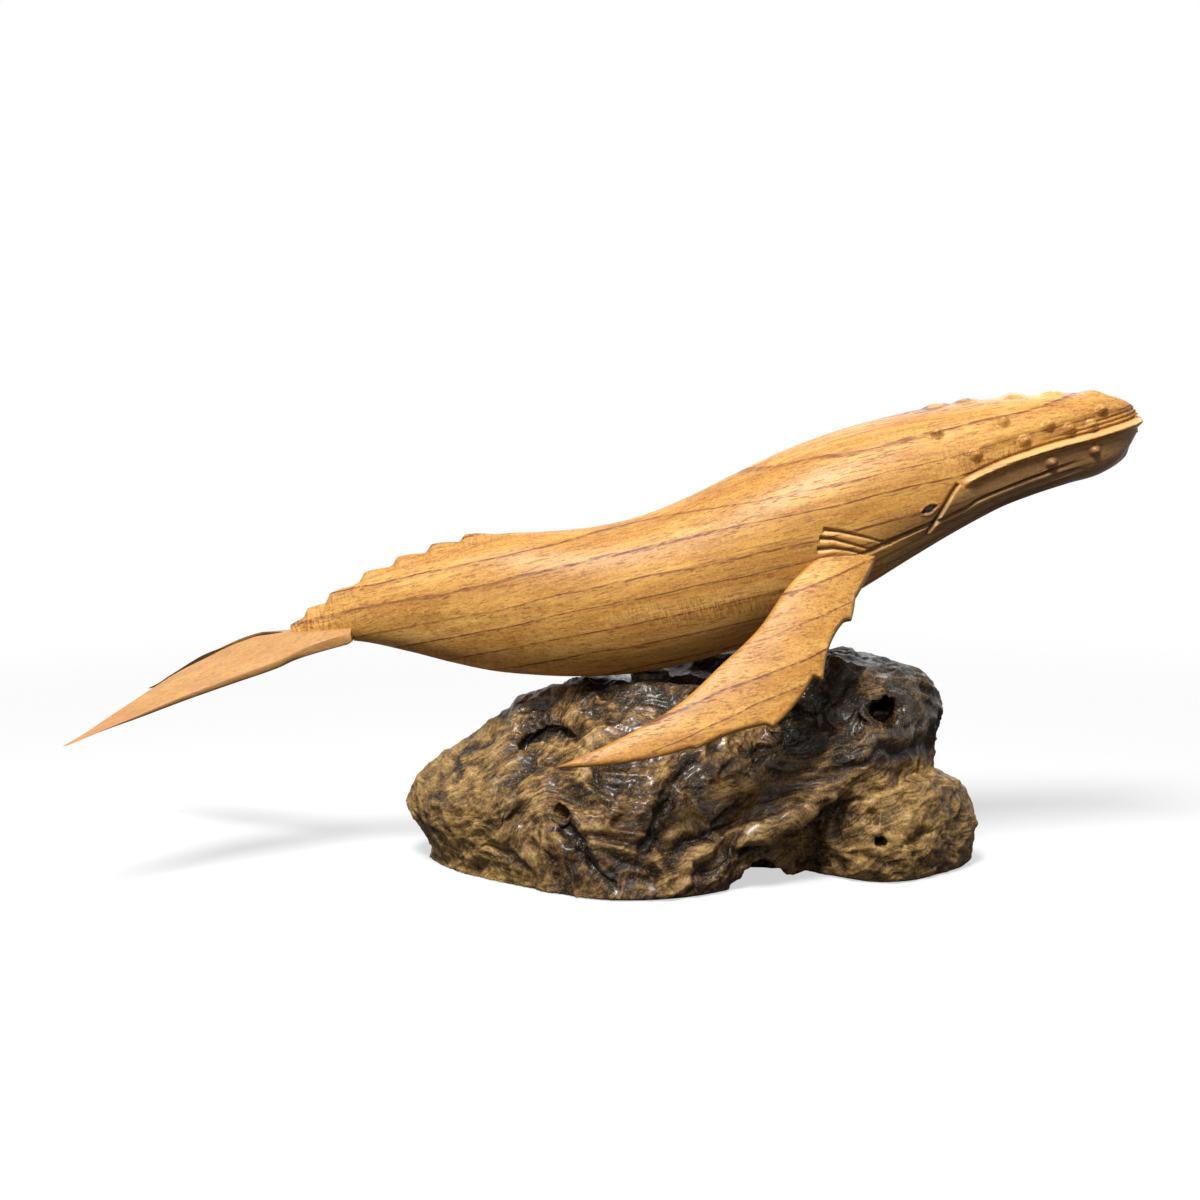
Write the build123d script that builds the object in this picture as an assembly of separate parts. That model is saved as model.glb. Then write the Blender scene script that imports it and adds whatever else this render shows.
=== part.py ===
from build123d import *
import math
import os

# A humpback whale carved in wood, carried on a gnarled root by a steel pin.
# Millimetres, +Z up, +X towards the snout, so the whale's right side is -Y.
# The origin is on the root's flat underside, below the pin's axis.

# The whale's body, in its own frame: X along the body from tail to snout, Z across it
body_length = 338.0
body_depth = 64.0
body_width = 57.0
body_pitch = 13.5            # degrees by which the snout is raised
tail_behind_pin = 140.0
tail_height = 94.0
belly_roundness = 2.35       # power of the curve below the widest level, 2 is an ellipse

# How the whale sits: a flat on the belly rests on a flat pad of the root
seat_height = 76.8
seat_radius = 8.0
pad_radius = 7.5
pin_radius = 2.5
pin_clearance = 0.05
pin_depth_in_root = 26.0
pin_depth_in_whale = 22.0
pin_end_gap = 1.0

# Carving on the head
lip_height = 13.0            # how far above the mouth line the rostrum is cut narrower
tubercle_radius = 2.8
tubercle_rise = 1.3
tubercle_sink = 1.4
tubercle_sides = 8
tubercle_taper = 30.0        # degrees
eye_place = 250.0
eye_height = -12.0
eye_length = 7.0
eye_opening = 3.6
eye_depth = 1.2
eyeball_radius = 2.1
fold_width = 1.8
fold_depth = 1.2
pleat_width = 1.7
pleat_depth = 0.9
gouge_width = 2.2
gouge_depth = 1.1
groove_proud = 1.2           # how far a groove's cutter stands out of the surface
strip_end_share = 1.3        # of a groove's depth or a ridge's rise, left out at its ends
knuckle_rise = 2.0
knuckle_sink = 1.5
knuckle_half_width = 2.6

# Flippers, one a mirror of the other
flipper_length = 136.6
flipper_chord = 35.0
flipper_thickness = 8.0
flipper_bow = 2.8
flipper_heading = 25.5       # degrees outward from straight back
flipper_dip = 30.0           # degrees below level
flipper_toe = 5.7            # degrees by which the root's chord turns in towards the body
flipper_root_place = 211.9   # along the body
flipper_root_height = -22.8
flipper_root_side = 24.0
flipper_dowel_radius = 1.5
flipper_dowel_length = 18.0
flipper_dowel_sink = 9.0

# Tail fluke, lapped under the end of the tail stock
fluke_half_span = 65.0
fluke_reach = 99.0           # from the lap's front wall back to the tips
fluke_droop = 26.6
fluke_thickness = 4.8
fluke_edge = 0.6
lap_tilt = 4.8               # degrees
lap_behind_pin = 115.5
lap_height = 94.0
tail_dowel_radius = 1.5
tail_dowel_length = 9.0
tail_dowel_behind_lap = 9.0
tail_dowel_cover = 1.4       # wood left under the dowel

# The root stand
root_length = 223.0
root_depth = 114.0
root_height = 82.5
arch_width = 24.0
arch_height = 9.0
arch_place = 41.0
arch_reach = 48.0
crease_width = 8.0
crease_depth = 3.0
ridge_width = 8.5
ridge_rise = 2.8
ridge_sink = 2.0
hollow_width = 11.0
hollow_depth = 6.0

cut_overrun = 40.0

# Stations of the body: place along it, then top, bottom, half width and widest level as
# shares of the body's length, depth and width, and the roundness above the widest level
station_shares = [
    (0.000, 0.008, -0.094, 0.046, -0.047, 1.7),
    (0.030, 0.055, -0.133, 0.081, -0.055, 1.7),
    (0.068, 0.130, -0.178, 0.112, -0.062, 1.6),
    (0.127, 0.211, -0.320, 0.170, -0.078, 1.6),
    (0.169, 0.242, -0.437, 0.222, -0.109, 1.6),
    (0.213, 0.259, -0.547, 0.275, -0.156, 1.7),
    (0.260, 0.250, -0.633, 0.328, -0.203, 1.8),
    (0.308, 0.202, -0.703, 0.372, -0.250, 1.9),
    (0.361, 0.161, -0.756, 0.412, -0.289, 2.0),
    (0.414, 0.153, -0.778, 0.447, -0.305, 2.0),
    (0.473, 0.194, -0.770, 0.477, -0.281, 2.0),
    (0.533, 0.266, -0.728, 0.498, -0.219, 2.0),
    (0.592, 0.333, -0.666, 0.503, -0.156, 2.0),
    (0.651, 0.375, -0.575, 0.495, -0.109, 2.0),
    (0.710, 0.391, -0.469, 0.470, -0.094, 2.0),
    (0.763, 0.388, -0.378, 0.434, -0.094, 2.0),
    (0.817, 0.366, -0.303, 0.390, -0.070, 2.0),
    (0.864, 0.334, -0.269, 0.342, -0.047, 2.0),
    (0.905, 0.297, -0.253, 0.293, -0.023, 2.0),
    (0.941, 0.259, -0.242, 0.240, -0.016, 2.0),
    (0.967, 0.216, -0.200, 0.187, -0.008, 2.0),
    (0.985, 0.163, -0.134, 0.134, -0.005, 2.0),
    (0.996, 0.102, -0.078, 0.081, -0.003, 2.0),
    (1.000, 0.044, -0.053, 0.035, 0.000, 2.0),
]
half_section_steps = 8

# The mouth in side view, as shares of length and depth, and the rostrum above it in plan,
# as shares of length and width
mouth_line_shares = [(0.740, -0.140), (0.793, -0.059), (0.828, -0.028), (0.882, -0.006),
                     (0.941, -0.003), (0.976, 0.004), (1.030, 0.025)]
rostrum_plan_shares = [(0.740, 0.470), (0.775, 0.424), (0.817, 0.371), (0.864, 0.321),
                       (0.905, 0.272), (0.941, 0.217), (0.967, 0.164), (0.985, 0.106)]
rostrum_tip_share = 0.9955

# Tubercles: place and height on each side, and places of the row along the top
tubercle_side_shares = [(0.763, 0.244), (0.799, 0.069), (0.839, 0.219), (0.857, 0.078),
                        (0.888, 0.134), (0.911, 0.080), (0.953, 0.141), (0.938, 0.069),
                        (0.883, -0.088), (0.936, -0.084)]
tubercle_top_shares = [0.777, 0.811, 0.864, 0.907, 0.954]

# Knuckles along the tail stock: place, height and length
knuckle_shares = [(0.232, 0.236, 0.021), (0.191, 0.245, 0.020), (0.149, 0.234, 0.019),
                  (0.107, 0.180, 0.018), (0.062, 0.105, 0.017), (0.031, 0.040, 0.014)]

knuckle_flank_share = 0.55
knuckle_outline_shares = [(-1.00, 0.00), (-0.62, 0.80), (-0.10, 1.00), (0.50, 0.85), (1.00, 0.00)]

# Grooves on each side, as places along the body and heights across it
fold_shares = [(0.7745, -0.070), (0.764, -0.120), (0.752, -0.200), (0.741, -0.290), (0.729, -0.375)]
gouge_shares = [
    [(0.613, -0.145), (0.630, -0.180), (0.650, -0.245), (0.672, -0.325)],
    [(0.607, -0.185), (0.622, -0.210), (0.642, -0.265), (0.664, -0.333)],
    [(0.602, -0.245), (0.620, -0.262), (0.637, -0.295), (0.655, -0.345)],
]
pleat_angles = [116.0, 130.0, 143.0, 155.0, 167.0]
pleat_first_station = 12
pleat_last_station = 20

# Flipper outline from the root, as shares of its length and chord: knobs of the leading
# edge with the step and the swell that follow each, and the trailing edge
leading_root_shares = [(-0.110, 0.150), (0.046, 0.420)]
leading_knob_shares = [(0.099, 0.586), (0.280, 0.926), (0.476, 1.009), (0.674, 0.720)]
leading_step_shares = [(0.120, 0.552), (0.297, 0.840), (0.489, 0.937), (0.690, 0.668)]
leading_swell_shares = [(0.212, 0.706), (0.360, 0.931), (0.580, 0.800), (0.830, 0.430)]
trailing_edge_shares = [(1.000, 0.000), (0.817, 0.157), (0.628, 0.229), (0.474, 0.160),
                        (0.326, 0.080), (0.163, -0.126), (0.057, -0.191), (-0.110, -0.300)]
# Flipper blade: place along it, middle, half width and thickness
blade_shares = [(-0.130, -0.060, 0.420, 1.00), (0.060, 0.120, 0.420, 1.00), (0.163, 0.254, 0.450, 0.95),
                (0.326, 0.503, 0.475, 0.82), (0.480, 0.583, 0.465, 0.70), (0.628, 0.500, 0.330, 0.60),
                (0.813, 0.303, 0.190, 0.45), (0.930, 0.160, 0.115, 0.34), (1.020, -0.010, 0.050, 0.22)]

# Fluke sections from the middle out, as shares of half span, reach, reach, droop and thickness
fluke_shares = [(0.000, 0.150, -0.278, 0.000, 1.00), (0.100, 0.080, -0.370, 0.000, 1.00),
                (0.200, -0.155, -0.540, 0.160, 0.90), (0.323, -0.268, -0.641, 0.289, 0.80),
                (0.462, -0.429, -0.717, 0.429, 0.70), (0.615, -0.601, -0.793, 0.586, 0.58),
                (0.769, -0.757, -0.874, 0.752, 0.46), (0.892, -0.884, -0.934, 0.883, 0.34),
                (1.000, -0.985, -1.000, 1.000, 0.22)]
leading_face_share = 0.60    # of the thickness

# The root's lumps. One outline runs round each in a unit square, and every level gives
# its height and the low and high ends of the outline along X and Y, as shares of the
# root's height, length and depth from the pin
root_outline_shares = [(0.00, 0.58), (0.12, 0.32), (0.30, 0.12), (0.46, 0.00), (0.66, 0.05),
                       (0.83, 0.24), (1.00, 0.52), (0.88, 0.84), (0.55, 1.00), (0.20, 0.91)]
core_shares = [(0.000, -0.395, 0.310, -0.500, 0.490), (0.150, -0.413, 0.325, -0.500, 0.500),
               (0.340, -0.426, 0.305, -0.440, 0.474), (0.510, -0.350, 0.285, -0.350, 0.421),
               (0.670, -0.270, 0.270, -0.260, 0.368), (0.800, -0.190, 0.225, -0.190, 0.300),
               (0.875, -0.135, 0.160, -0.130, 0.220)]
spine_shares = [(0.560, 0.000, 0.400, 0.040, 0.400), (0.760, 0.015, 0.385, 0.060, 0.370),
                (0.900, 0.030, 0.360, 0.085, 0.330), (0.975, 0.060, 0.320, 0.120, 0.280)]
shoulder_shares = [(0.000, 0.225, 0.480, -0.100, 0.400), (0.210, 0.210, 0.500, -0.210, 0.420),
                   (0.440, 0.206, 0.507, -0.262, 0.420), (0.670, 0.215, 0.512, -0.236, 0.386),
                   (0.840, 0.233, 0.502, -0.175, 0.333), (0.935, 0.252, 0.430, -0.105, 0.280),
                   (1.000, 0.278, 0.368, -0.010, 0.210)]
block_shares = [(0.000, 0.235, 0.557, -0.275, 0.193), (0.100, 0.210, 0.571, -0.300, 0.228),
                (0.270, 0.200, 0.569, -0.290, 0.210), (0.390, 0.225, 0.545, -0.255, 0.175),
                (0.450, 0.280, 0.485, -0.210, 0.105)]
flow_shares = [(0.090, 0.040, 0.150, -0.440, -0.150), (0.240, 0.062, 0.252, -0.390, -0.090),
               (0.390, 0.112, 0.368, -0.333, -0.040), (0.540, 0.170, 0.425, -0.290, 0.000),
               (0.680, 0.200, 0.440, -0.228, 0.040)]
# Holes bored by insects and rot: place, height and side of the mouth, radius and depth as
# shares of the root's length, height, depth, length and length
hole_shares = [(0.401, 0.765, -0.260, 0.027, 0.110), (0.387, 0.200, -0.330, 0.013, 0.075),
               (-0.238, 0.590, -0.330, 0.017, 0.060), (-0.151, 0.360, -0.440, 0.012, 0.055)]
# Creases, hollows and ridges that follow the root's grain: side, -1 in front and 1 behind,
# then places and heights on it as shares of the root's length and height
crease_shares = [(-1, [(-0.150, 0.409), (-0.142, 0.273), (-0.107, 0.136)]),
                 (-1, [(-0.022, 0.170), (0.005, 0.315), (0.041, 0.450)]),
                 (-1, [(0.120, 0.140), (0.190, 0.200), (0.280, 0.300)]),
                 (-1, [(0.128, 0.535), (0.208, 0.623), (0.281, 0.740)]),
                 (-1, [(-0.350, 0.330), (-0.320, 0.450), (-0.270, 0.540)]),
                 (-1, [(-0.310, 0.157), (-0.253, 0.148), (-0.190, 0.090)]),
                 (-1, [(0.363, 0.400), (0.371, 0.304), (0.375, 0.240)]),
                 (-1, [(0.410, 0.160), (0.455, 0.202), (0.500, 0.250)]),
                 (1, [(-0.300, 0.240), (-0.220, 0.400), (-0.110, 0.500)]),
                 (1, [(-0.120, 0.170), (-0.020, 0.330), (0.080, 0.430)]),
                 (1, [(0.100, 0.160), (0.180, 0.300), (0.240, 0.420)]),
                 (1, [(0.300, 0.300), (0.360, 0.450), (0.420, 0.560)])]
hollow_shares = [(-1, [(-0.240, 0.600), (-0.190, 0.640), (-0.130, 0.670)]),
                 (-1, [(0.372, 0.760), (0.400, 0.765), (0.428, 0.760)])]
ridge_line_shares = [(-1, [(-0.090, 0.200), (-0.066, 0.370), (-0.020, 0.520)]),
                      (-1, [(0.070, 0.210), (0.110, 0.340), (0.190, 0.450)]),
                      (-1, [(-0.270, 0.260), (-0.220, 0.370), (-0.190, 0.480)]),
                      (-1, [(0.240, 0.500), (0.320, 0.560), (0.400, 0.600)]),
                      (1, [(-0.350, 0.200), (-0.290, 0.350), (-0.220, 0.500)]),
                      (1, [(-0.200, 0.200), (-0.110, 0.350), (-0.020, 0.480)]),
                      (1, [(0.000, 0.180), (0.090, 0.320), (0.160, 0.460)]),
                      (1, [(0.240, 0.220), (0.300, 0.400), (0.340, 0.600)])]


def loft_through(wires):
    return Solid.make_loft(wires)


def whale_place():
    pitch = math.radians(body_pitch)
    return Plane(
        origin=(-tail_behind_pin, 0, tail_height),
        x_dir=(math.cos(pitch), 0, math.sin(pitch)),
        z_dir=(-math.sin(pitch), 0, math.cos(pitch)),
    ).location


def body_point(station, angle):
    # The angle runs from 0 at the back to 180 degrees at the belly; more comes up the far side
    place, top, bottom, half_width, level, roundness = station
    turn = math.radians(angle)
    up = math.cos(turn)
    out = math.sin(turn)
    power = roundness if up >= 0 else belly_roundness
    reach = (top - level) if up >= 0 else (level - bottom)
    side = half_width * math.copysign(abs(out) ** (2 / power), out)
    height = level + reach * math.copysign(abs(up) ** (2 / power), up)
    return Vector(place * body_length, -side * body_width, height * body_depth)


def body_outward(station, angle):
    small_turn = 2.0
    across = body_point(station, angle + small_turn) - body_point(station, angle - small_turn)
    return Vector(1, 0, 0).cross(across).normalized() * -1


def half_rim(station, start):
    # Half a turn of the section; its slopes at the back and belly match the other half
    step = 180.0 / half_section_steps
    angles = [start + step * index for index in range(half_section_steps + 1)]
    points = [body_point(station, angle) for angle in angles]
    slopes = []
    for angle in (angles[0], angles[-1]):
        across = body_point(station, angle + step) - body_point(station, angle - step)
        slopes.append(across * (half_section_steps / 2))
    turns = [index / half_section_steps for index in range(half_section_steps + 1)]
    return Edge.make_spline(points, tangents=slopes, parameters=turns, scale=False)


def body_blank():
    # Each section is a right and a left half, so the loft has a seam along its back and belly
    wires = [Wire([half_rim(station, 0), half_rim(station, 180)]) for station in station_shares]
    return loft_through(wires)


def near_surface(solid, place, height, side=-1):
    # The outermost point on one side, -1 in front and 1 behind, at a place and a height
    ray = Axis((place, side * root_depth, height), (0, -side, 0))
    hits = []
    for face in solid.faces():
        hits += face.find_intersection_points(ray)
    point, normal = min(hits, key=lambda hit: -side * hit[0].Y)
    if normal.Y * side < 0:
        normal = normal * -1
    return point, normal


def strip(points, outward, width, foot, edge):
    # A three-sided strip along the points: its base stands foot outward and its edge stands
    # edge outward, and both sink or rise at the ends so that it runs out in the surface
    last = len(points) - 1
    wires = []
    for index, point in enumerate(points):
        along = (points[min(index + 1, last)] - points[max(index - 1, 0)]).normalized()
        across = along.cross(outward[index]).normalized() * (width / 2)
        lift = -edge * strip_end_share if index in (0, last) else 0.0
        base = point + outward[index] * (foot + lift)
        tip = point + outward[index] * (edge + lift)
        wires.append(Wire.make_polygon([base - across, tip, base + across], close=True))
    return loft_through(wires)


def groove(points, outward, width, depth):
    return strip(points, outward, width * (depth + groove_proud) / depth, groove_proud, -depth)


def surface_line(solid, places, side=-1):
    found = [near_surface(solid, place, height, side) for place, height in places]
    return [point for point, normal in found], [normal for point, normal in found]


def surface_groove(blank, shares, width, depth):
    places = [(place * body_length, height * body_depth) for place, height in shares]
    return groove(*surface_line(blank, places), width, depth)


def root_line(base, side, shares):
    places = [(place * root_length, height * root_height) for place, height in shares]
    return surface_line(base, places, side)


def every_side(shapes):
    return [*shapes, *(shape.mirror(Plane.XZ) for shape in shapes)]


def lip_cutters():
    # Everything above the mouth line and outside the narrower rostrum
    line = [(place * body_length, height * body_depth) for place, height in mouth_line_shares]
    low = Edge.make_spline([Vector(x, 0, z) for x, z in line])
    roof = [Vector(line[-1][0], 0, line[-1][1] + lip_height), Vector(line[0][0], 0, line[0][1] + lip_height)]
    rim = Wire([low, Edge.make_line(low @ 1, roof[0]), Edge.make_line(roof[0], roof[1]),
                Edge.make_line(roof[1], low @ 0)])
    band = extrude(Face(rim), amount=body_width, dir=(0, 1, 0), both=True)
    floor = -body_depth
    half = [Vector(place * body_length, share * body_width, floor) for place, share in rostrum_plan_shares]
    tip = Vector(rostrum_tip_share * body_length, 0, floor)
    other = [Vector(point.X, -point.Y, floor) for point in reversed(half)]
    front = Edge.make_spline(half + [tip] + other)
    plan = Face(Wire([front, Edge.make_line(other[-1], half[0])]))
    rostrum = extrude(plan, amount=body_depth * 2, dir=(0, 0, 1))
    return band - rostrum


def tubercle(point, normal):
    foot = Plane(origin=point - normal * tubercle_sink, x_dir=(1, 0, 0), z_dir=normal)
    knob = extrude(
        RegularPolygon(tubercle_radius, tubercle_sides),
        amount=tubercle_sink + tubercle_rise,
        taper=tubercle_taper,
    )
    return foot.location * knob


def side_tubercles(blank):
    bumps = []
    for place, height in tubercle_side_shares:
        point, normal = near_surface(blank, place * body_length, height * body_depth)
        bumps.append(tubercle(point, normal))
    return bumps


def top_tubercles():
    # The top line between two stations is close to straight
    bumps = []
    for place in tubercle_top_shares:
        before = max(station for station in station_shares if station[0] <= place)
        after = min(station for station in station_shares if station[0] > place)
        part = (place - before[0]) / (after[0] - before[0])
        top = (before[1] + part * (after[1] - before[1])) * body_depth
        bumps.append(tubercle(Vector(place * body_length, 0, top), Vector(0, 0, 1)))
    return bumps


def knuckles():
    bumps = []
    crest = knuckle_rise + knuckle_sink
    for place, height, length in knuckle_shares:
        wires = []
        for side, size in ((-1, knuckle_flank_share), (0, 1), (1, knuckle_flank_share)):
            corners = [
                Vector(across * length * body_length * size, side * knuckle_half_width, up * crest * size)
                for across, up in knuckle_outline_shares
            ]
            wires.append(Wire.make_polygon(corners, close=True))
        bump = Solid.make_loft(wires, ruled=True)
        bumps.append(Pos(place * body_length, 0, height * body_depth - knuckle_sink) * bump)
    return bumps


def eye(blank):
    point, normal = near_surface(blank, eye_place, eye_height)
    half = eye_length / 2
    lids = Wire([
        Edge.make_three_point_arc((-half, 0), (0, eye_opening / 2), (half, 0)),
        Edge.make_three_point_arc((half, 0), (0, -eye_opening / 2), (-half, 0)),
    ])
    socket_plane = Plane(origin=point - normal * eye_depth, x_dir=(1, 0, 0), z_dir=normal)
    socket = extrude(socket_plane * Face(lids), amount=eye_depth + groove_proud)
    ball = Pos(point - normal * eyeball_radius) * Sphere(eyeball_radius)
    return socket, ball & extrude(socket_plane * Face(lids), amount=eye_depth, both=True)


def lap_plane():
    tilt = math.radians(lap_tilt)
    return Plane(
        origin=(-lap_behind_pin, 0, lap_height),
        x_dir=(math.cos(tilt), 0, math.sin(tilt)),
        z_dir=(-math.sin(tilt), 0, math.cos(tilt)),
    )


def make_whale_body():
    blank = body_blank()
    cutters = [surface_groove(blank, fold_shares, fold_width, fold_depth)]
    for shares in gouge_shares:
        cutters.append(surface_groove(blank, shares, gouge_width, gouge_depth))
    pleat_stations = station_shares[pleat_first_station:pleat_last_station + 1]
    for angle in pleat_angles:
        points = [body_point(station, angle) for station in pleat_stations]
        outward = [body_outward(station, angle) for station in pleat_stations]
        cutters.append(groove(points, outward, pleat_width, pleat_depth))
    socket, eyeball = eye(blank)
    bumps = side_tubercles(blank) + [eyeball]
    body = blank - [lip_cutters(), *every_side(cutters + [socket])]
    body = body + [*every_side(bumps), *knuckles(), *top_tubercles()]
    body = whale_place() * body
    rebate = Box(lap_behind_pin, body_width, body_depth, align=(Align.MAX, Align.CENTER, Align.MAX))
    body = body - lap_plane().location * rebate
    seat = Cylinder(seat_radius, cut_overrun, align=(Align.CENTER, Align.CENTER, Align.MAX))
    body = body - Pos(0, 0, seat_height) * seat
    bore_depth = pin_depth_in_whale + pin_end_gap
    bore = Cylinder(pin_radius + pin_clearance, bore_depth, align=(Align.CENTER, Align.CENTER, Align.MIN))
    return body - Pos(0, 0, seat_height) * bore


def flipper_plane():
    heading = math.radians(flipper_heading)
    dip = math.radians(flipper_dip)
    toe = math.radians(flipper_toe)
    span = Vector(-math.cos(dip) * math.cos(heading), -math.cos(dip) * math.sin(heading), -math.sin(dip))
    chord = Vector(math.cos(toe), math.sin(toe), 0)
    root = whale_place() * Pos(flipper_root_place, -flipper_root_side, flipper_root_height)
    return Plane(origin=root.position, x_dir=span, z_dir=span.cross(chord))


def flipper_point(share):
    return Vector(share[0] * flipper_length, share[1] * flipper_chord)


def flipper_blank():
    edges = [Edge.make_spline([flipper_point(share) for share in leading_root_shares + leading_knob_shares[:1]])]
    tips = leading_knob_shares[1:] + trailing_edge_shares[:1]
    for knob, step, swell, tip in zip(leading_knob_shares, leading_step_shares, leading_swell_shares, tips):
        edges.append(Edge.make_line(flipper_point(knob), flipper_point(step)))
        edges.append(Edge.make_three_point_arc(flipper_point(step), flipper_point(swell), flipper_point(tip)))
    edges.append(Edge.make_spline([flipper_point(share) for share in trailing_edge_shares]))
    edges.append(Edge.make_line(edges[-1] @ 1, edges[0] @ 0))
    outline = extrude(Face(Wire(edges)), amount=flipper_thickness + flipper_bow, both=True)
    wires = []
    for place, middle, half, thickness in blade_shares:
        x = place * flipper_length
        y = middle * flipper_chord
        reach = half * flipper_chord
        swell = thickness * flipper_thickness / 2
        rise = 4 * flipper_bow * place * (1 - place)
        ends = [Vector(x, y - reach, rise), Vector(x, y + reach, rise)]
        wires.append(Wire([
            Edge.make_three_point_arc(ends[0], Vector(x, y, rise + swell), ends[1]),
            Edge.make_three_point_arc(ends[1], Vector(x, y, rise - swell), ends[0]),
        ]))
    return outline & loft_through(wires)


def make_right_flipper(body):
    dowel = make_right_flipper_dowel()
    blade = flipper_plane().location * flipper_blank() - body - dowel
    return max(blade.solids(), key=lambda solid: solid.volume)


def make_right_flipper_dowel():
    rod = Cylinder(flipper_dowel_radius, flipper_dowel_length, rotation=(0, 90, 0),
                   align=(Align.CENTER, Align.CENTER, Align.CENTER))
    return flipper_plane().location * Pos(flipper_dowel_length / 2 - flipper_dowel_sink, 0, 0) * rod


def make_tail_fluke():
    wires = []
    rows = [(-side, *rest) for side, *rest in reversed(fluke_shares[1:])] + fluke_shares
    for side, lead, trail, droop, thick in rows:
        y = side * fluke_half_span
        x_lead = lead * fluke_reach
        x_trail = trail * fluke_reach
        z = -droop * fluke_droop
        thickness = thick * fluke_thickness
        nose = Vector(x_lead, y, z - thickness * leading_face_share)
        tail = Vector(x_trail, y, z - fluke_edge * thick)
        belly = Vector((x_lead + x_trail) / 2, y, z - thickness)
        wires.append(Wire([
            Edge.make_line(Vector(x_trail, y, z), Vector(x_lead, y, z)),
            Edge.make_line(Vector(x_lead, y, z), nose),
            Edge.make_three_point_arc(nose, belly, tail),
            Edge.make_line(tail, Vector(x_trail, y, z)),
        ]))
    blade = loft_through(wires)
    front = Box(fluke_reach, fluke_half_span * 2, body_depth, align=(Align.MIN, Align.CENTER, Align.CENTER))
    above = Box(fluke_reach * 2, fluke_half_span * 2, body_depth, align=(Align.MAX, Align.CENTER, Align.MIN))
    return lap_plane().location * (blade - front - above) - make_tail_dowel()


def make_tail_dowel():
    rod = Cylinder(tail_dowel_radius, tail_dowel_length, align=(Align.CENTER, Align.CENTER, Align.MIN))
    return lap_plane().location * Pos(-tail_dowel_behind_lap, 0, tail_dowel_cover - fluke_thickness) * rod


def root_lump(levels):
    wires = []
    for height, x_low, x_high, y_low, y_high in levels:
        points = []
        for across, along in root_outline_shares:
            x = (x_low + across * (x_high - x_low)) * root_length
            y = (y_low + along * (y_high - y_low)) * root_depth
            points.append(Vector(x, y, height * root_height))
        turns = [index / len(points) for index in range(len(points) + 1)]
        wires.append(Wire([Edge.make_spline(points, periodic=True, parameters=turns)]))
    return loft_through(wires)


def make_driftwood_base():
    core, *lumps = [
        root_lump(levels)
        for levels in (core_shares, spine_shares, shoulder_shares, block_shares, flow_shares)
    ]
    base = core + lumps
    cutters = [groove(*root_line(base, *shares), crease_width, crease_depth) for shares in crease_shares]
    cutters += [groove(*root_line(base, *shares), hollow_width, hollow_depth) for shares in hollow_shares]
    ridges = [
        strip(*root_line(base, *shares), ridge_width, -ridge_sink, ridge_rise)
        for shares in ridge_line_shares
    ]
    base = base - cutters + ridges
    arch = Face(Wire([
        Edge.make_three_point_arc((-arch_width / 2, 0), (0, arch_height), (arch_width / 2, 0)),
        Edge.make_line((arch_width / 2, 0), (-arch_width / 2, 0)),
    ]))
    tunnel = extrude(Plane.XZ * arch, amount=arch_reach + cut_overrun, dir=(0, -1, 0))
    base = base - Pos(arch_place, arch_reach - root_depth / 2, 0) * tunnel
    for place, height, side, radius, depth in hole_shares:
        borer = Cylinder(radius * root_length, depth * root_length + cut_overrun, rotation=(90, 0, 0),
                         align=(Align.CENTER, Align.CENTER, Align.MIN))
        mouth = side * root_depth + depth * root_length
        base = base - Pos(place * root_length, mouth, height * root_height) * borer
    pad = Cylinder(pad_radius, seat_height / 2, align=(Align.CENTER, Align.CENTER, Align.MAX))
    base = base + Pos(0, 0, seat_height) * pad
    bore = Cylinder(pin_radius + pin_clearance, pin_depth_in_root, align=(Align.CENTER, Align.CENTER, Align.MAX))
    return base - Pos(0, 0, seat_height) * bore


def make_mounting_pin():
    length = pin_depth_in_root + pin_depth_in_whale
    rod = Cylinder(pin_radius, length, align=(Align.CENTER, Align.CENTER, Align.MIN))
    return Pos(0, 0, seat_height - pin_depth_in_root) * rod


def main():
    os.makedirs("parts", exist_ok=True)
    whale = make_whale_body()
    right_flipper = make_right_flipper(whale)
    right_dowel = make_right_flipper_dowel()
    tail_dowel = make_tail_dowel()
    whale = whale - every_side([right_dowel]) - tail_dowel
    nodes = {
        "driftwood_base": make_driftwood_base(),
        "mounting_pin": make_mounting_pin(),
        "whale_body": whale,
        "right_flipper": right_flipper,
        "left_flipper": right_flipper.mirror(Plane.XZ),
        "tail_fluke": make_tail_fluke(),
        "right_flipper_dowel": right_dowel,
        "left_flipper_dowel": right_dowel.mirror(Plane.XZ),
        "tail_dowel": tail_dowel,
    }
    for name, shape in nodes.items():
        export_step(shape, "parts/" + name + ".step")


main()
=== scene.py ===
import bpy
import numpy as np
from math import cos, pi, radians, sin
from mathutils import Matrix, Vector, noise


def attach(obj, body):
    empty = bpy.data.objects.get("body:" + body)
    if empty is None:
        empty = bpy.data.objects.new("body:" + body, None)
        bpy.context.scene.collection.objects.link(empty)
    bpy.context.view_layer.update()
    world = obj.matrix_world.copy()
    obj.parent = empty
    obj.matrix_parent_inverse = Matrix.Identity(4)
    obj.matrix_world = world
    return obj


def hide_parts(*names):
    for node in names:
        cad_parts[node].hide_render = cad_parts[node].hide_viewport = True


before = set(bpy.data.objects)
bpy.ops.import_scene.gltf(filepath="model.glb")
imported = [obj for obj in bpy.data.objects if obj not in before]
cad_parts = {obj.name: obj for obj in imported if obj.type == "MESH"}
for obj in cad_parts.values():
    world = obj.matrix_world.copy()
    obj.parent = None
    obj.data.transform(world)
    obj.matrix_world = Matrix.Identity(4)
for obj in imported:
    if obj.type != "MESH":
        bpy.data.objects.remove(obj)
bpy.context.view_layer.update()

# A humpback whale carved in plain-sawn hardwood on a gnarled, varnished root.
# Metres, +Z up, +X towards the snout; the near side in the photograph is -Y.
mm = 0.001


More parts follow.
